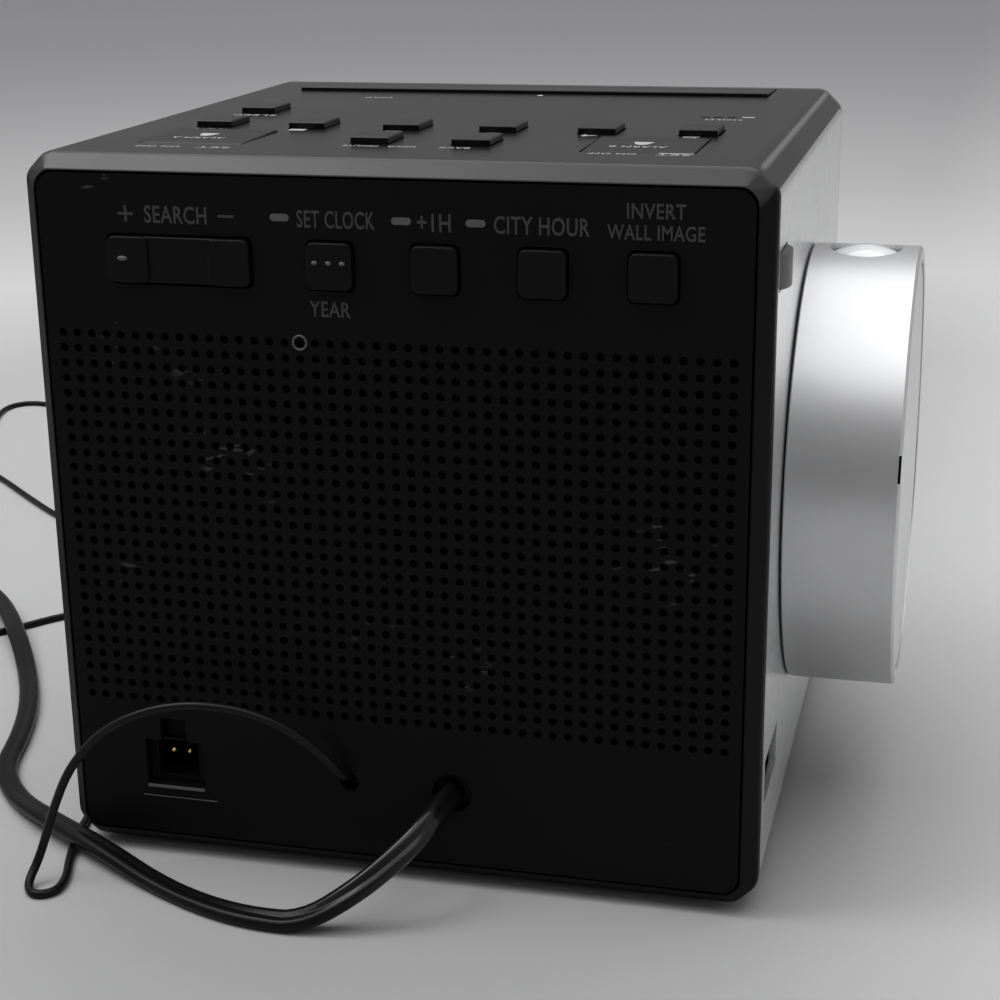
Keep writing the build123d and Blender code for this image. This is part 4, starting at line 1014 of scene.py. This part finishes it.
# Each bar's place across and up the figure, and whether it lies level
BAR_PLACES = {
    "a": (0, 1, True), "b": (1, 0.5, False), "c": (1, -0.5, False), "d": (0, -1, True),
    "e": (-1, -0.5, False), "f": (-1, 0.5, False), "g": (0, 0, True),
}
TIME_FIGURES = (("1", -31.0), ("0", -15.5), ("0", 6.5), ("8", 23.0))
TIME_Z = 60.0
TIME_SIZE = (12.5, 25.0)
COLON_X = -4.5
COLON_HEIGHTS = (55.0, 65.0)
DATE_FIGURES = (("1", -25.0), ("5", -20.0), ("2", -8.0), ("4", -3.0))
DATE_Z = 32.0
DATE_SIZE = (3.9, 7.6)
DISPLAY_WORDS = (
    ("AM", -35.5, 76.0, (5.0, 2.4)), ("DAY", -35.0, DATE_Z, (6.5, 2.4)),
    ("ALARM A", 12.0, 34.4, (10.0, 1.9)), ("ALARM B", 12.0, 29.6, (10.0, 1.9)),
)
ALARM_FIGURE = ("7", 29.0)


def digit_bar(x, z, length, width, level):
    """One bar of a figure, pointed at both ends and lying level or upright."""
    blunt = 1 - width / length

    def stretch(co):
        along = co.x if abs(co.x) > 0.9 else (blunt if co.x > 0 else -blunt)
        return Vector((along, co.y, co.z)) if level else Vector((co.y, along, co.z))
    size = (length, width) if level else (width, length)
    return flat_shape(6, "front", (x, PANEL_Y, z), size, FIGURE_THICKNESS, stretch)


def figure(sign, x, z, width, height):
    """The lit bars of one figure."""
    thick = width * BAR_WIDTH
    pieces = []
    for bar_name in DIGIT_BARS[sign]:
        across, up, level = BAR_PLACES[bar_name]
        length = (width if level else height / 2) - thick * BAR_GAP
        bar_x = x + across * (width - thick) / 2
        bar_z = z + up * (height - thick) / 2
        pieces.append(digit_bar(bar_x, bar_z, length, thick, level))
    return pieces


def add_display():
    """The lit time, date and alarm signs of the display."""
    pieces = []
    for sign, x in TIME_FIGURES:
        pieces += figure(sign, x, TIME_Z, *TIME_SIZE)
    pieces += [
        flat_shape(12, "front", (COLON_X, PANEL_Y, z), (1.9, 1.9), FIGURE_THICKNESS) for z in COLON_HEIGHTS]
    for sign, x in DATE_FIGURES:
        pieces += figure(sign, x, DATE_Z, *DATE_SIZE)
    pieces += [word(text, "front", (x, PANEL_Y, z), size) for text, x, z, size in DISPLAY_WORDS]
    pieces.append(bell("front", (21.0, PANEL_Y, 34.4), (2.2, 2.4)))
    pieces += figure(*ALARM_FIGURE, DATE_Z, *DATE_SIZE)
    joined("display_figures", pieces, lit_figures, "case")


def add_drawer_mark():
    """A small arrow on the face of the battery drawer."""
    mark = flat_shape(3, "far_side", (51.0, -10.0, 6.6), (3.0, 1.8))
    joined("drawer_arrow", [mark], print_pale, "battery_drawer")


def add_bare_label():
    """A bare silvery label under the case."""
    plate = bar("under", (0.0, -6.0, 0.0), (46.0, 26.0), 0.08)
    joined("bare_label", [plate], silver_paint, "case")


NOTCH_ANGLE = radians(15.3)
NOTCH_X = -66.86
NOTCH_REACH = 32.2
DRUM_AXIS_Z = 51.0


def add_notch_mark():
    """Painted shadow: a dark bar in the notch of the drum's rim."""
    mark = bar("far_side", (0, 0, 0), (0.5, 3.8), 0.35)
    turn = Matrix.Rotation(NOTCH_ANGLE, 3, "X")
    centre = spot(0, 0, 0)
    for vertex in mark.data.vertices:
        local = vertex.co - centre
        vertex.co = spot(NOTCH_X, 0, DRUM_AXIS_Z) + turn @ (local + Vector((0, NOTCH_REACH * MM, 0)))
    joined("notch_painted_shadow", [mark], dark_painted_shade, "projector")


add_notch_mark()
add_rear_prints()
add_top_prints()
add_key_marks()
add_hole_ring()
add_socket_ledges()
add_thumbwheel()
add_lens()
add_display()
add_drawer_mark()
add_bare_label()


# Stage, in metres
FLOOR_SIZE = 8
FLOOR_REACH = 2.0
# Painted light: the floor's colour rises and falls with distance from the clock, lightest in a band about
# 0.43 m out.
FLOOR_PAINTED_LIGHT_SHADES = [
    (0.0, (0.42, 0.42, 0.422)), (0.1, (0.415, 0.415, 0.416)), (0.15, (0.43, 0.43, 0.431)),
    (0.215, (0.6, 0.6, 0.6)), (0.32, (0.51, 0.51, 0.515)), (0.5, (0.51, 0.51, 0.52)),
    (0.9, (0.56, 0.56, 0.575)),
]
PAINTED_SHADOW_SHADE = (0.3, 0.3, 0.305)
DRUM_SIDE_PAINTED_LIGHT = (0.68, 0.68, 0.68)
# Each lamp's place, aim, size and strength
LAMPS = {
    "overhead": ((0.02, -0.04, 0.78), (0.02, -0.04, 0.0), (0.95, 1.3), 1.55),
    "left_key": ((0.46, 0.14, 0.72), (0.0, 0.0, 0.05), (0.34, 0.5), 4.9),
}


def add_stage():
    """A large sheet of grey paper: painted shadow behind the clock, painted light beside its drum and in
    rings.
    """
    deselect()
    bpy.ops.mesh.primitive_plane_add(size=FLOOR_SIZE, location=(0, 0, FLOOR))
    floor = bpy.context.object
    floor.name = "floor"
    finish = Finish("floor_paper")
    cloud = finish.noise(0.15, 2.0, 0.5)
    away = ((finish.x * finish.x + finish.y * finish.y) ** 0.5) / FLOOR_REACH
    shade = finish.node("ShaderNodeValToRGB", {"stops": FLOOR_PAINTED_LIGHT_SHADES}, Fac=away)
    # Painted shadow on the floor behind the clock's rear cover.
    painted_shadow = finish.y.above(0.045, 0.06) * finish.x.above(-0.03, 0.1)
    shade = finish.mix(painted_shadow * 0.55, shade, PAINTED_SHADOW_SHADE)
    # Painted light: the floor is lighter beside the drum, where the clock's shadow falls.
    painted_light_beside_drum = (1 - finish.x.above(-0.078, 0.07)) * (1 - finish.y.above(0.07, 0.05))
    shade = finish.mix(painted_light_beside_drum * 0.85, shade, DRUM_SIDE_PAINTED_LIGHT)
    finish.surface(Base_Color=finish.mix(cloud * 0.06, shade, (0.3, 0.3, 0.3)), Roughness=0.75)
    wear(floor, finish)


def add_lamp(name, place, aim, size, radiance):
    """An area lamp whose strength is given per area, so that its size only softens it."""
    lamp = bpy.data.objects.new(name, bpy.data.lights.new(name, "AREA"))
    bpy.context.scene.collection.objects.link(lamp)
    lamp.data.shape = "RECTANGLE"
    lamp.data.size, lamp.data.size_y = size
    lamp.data.energy = radiance * pi * size[0] * size[1]
    lamp.location = place
    lamp.rotation_mode = "QUATERNION"
    lamp.rotation_quaternion = (Vector(aim) - Vector(place)).to_track_quat("-Z", "Y")


def add_studio():
    """Soft grey surroundings, lighter upwards and on the -X side, dimmest on the +Y side, with two lamps."""
    world = bpy.data.worlds.new("studio")
    bpy.context.scene.world = world
    world.use_nodes = True
    air = Finish("studio", world.node_tree, "Generated")
    level = air.y.math("ABSOLUTE") * -0.18 + air.y.math("MAXIMUM", 0.0) * -0.12 + air.z * 0.17 + 0.36
    level = level + air.x.math("MINIMUM", 0.0) * -0.16
    colour = air.mix(level.clamped(), (0, 0, 0), (1, 1, 1.01))
    background = air.node("ShaderNodeBackground", Color=colour, Strength=1.0)
    air.node("ShaderNodeOutputWorld", output=None, Surface=background)
    for name, settings in LAMPS.items():
        add_lamp(name, *settings)


add_stage()
add_studio()
bpy.context.scene.view_settings.view_transform = "Standard"

TOP_KEYS = [
    "radio_key", "preset_key_1", "preset_key_2", "preset_key_3", "preset_key_4", "preset_key_5", "sleep_key",
    "time_up_key", "time_down_key", "alarm_key_a", "alarm_key_b",
]
NODE_FINISHES = {
    case_black: ["case_shell"],
    cover_black: ["rear_cover"],
    backing_black: ["grille_backing", "am_socket"],
    top_key_black: ["snooze_bar", *TOP_KEYS],
    key_black: ["tuning_rocker", "clock_set_key", "summer_time_key", "time_zone_key", "image_turn_key"],
    silver_paint: ["side_plate"],
    drum_silver: ["drum_shell", "focus_dial"],
    drum_hub_painted_light: ["drum_hub"],
    bezel_black: ["front_bezel"],
    smoked: ["display_window"],
    lcd_glass: ["display_panel", "mini_lcd"],
    pale_plastic: ["backlight"],
    main_green: ["main_board"],
    key_green: ["top_key_board", "rear_key_board"],
    power_green: ["power_board"],
    foot_rubber: ["feet"],
    steel: ["case_screws", "volume_pot"],
    switch_grey: ["tact_switches"],
    black_steel: ["speaker_frame", "usb_socket"],
    cone_black: ["speaker_cone"],
    core_steel: ["transformer"],
    gold: ["am_pins"],
    inner_black: ["cord_clamp", "projector_housing", "lens_barrel"],
    drawer_black: ["battery_drawer"],
    cell_steel: ["coin_cell"],
    bush_white: ["projector_bush"],
    spring_steel: ["retaining_clip"],
    lamp_face: ["projection_lamp"],
    plug_black: ["power_plug"],
}
for finish, nodes in NODE_FINISHES.items():
    for name in nodes:
        wear(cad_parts[name], finish)
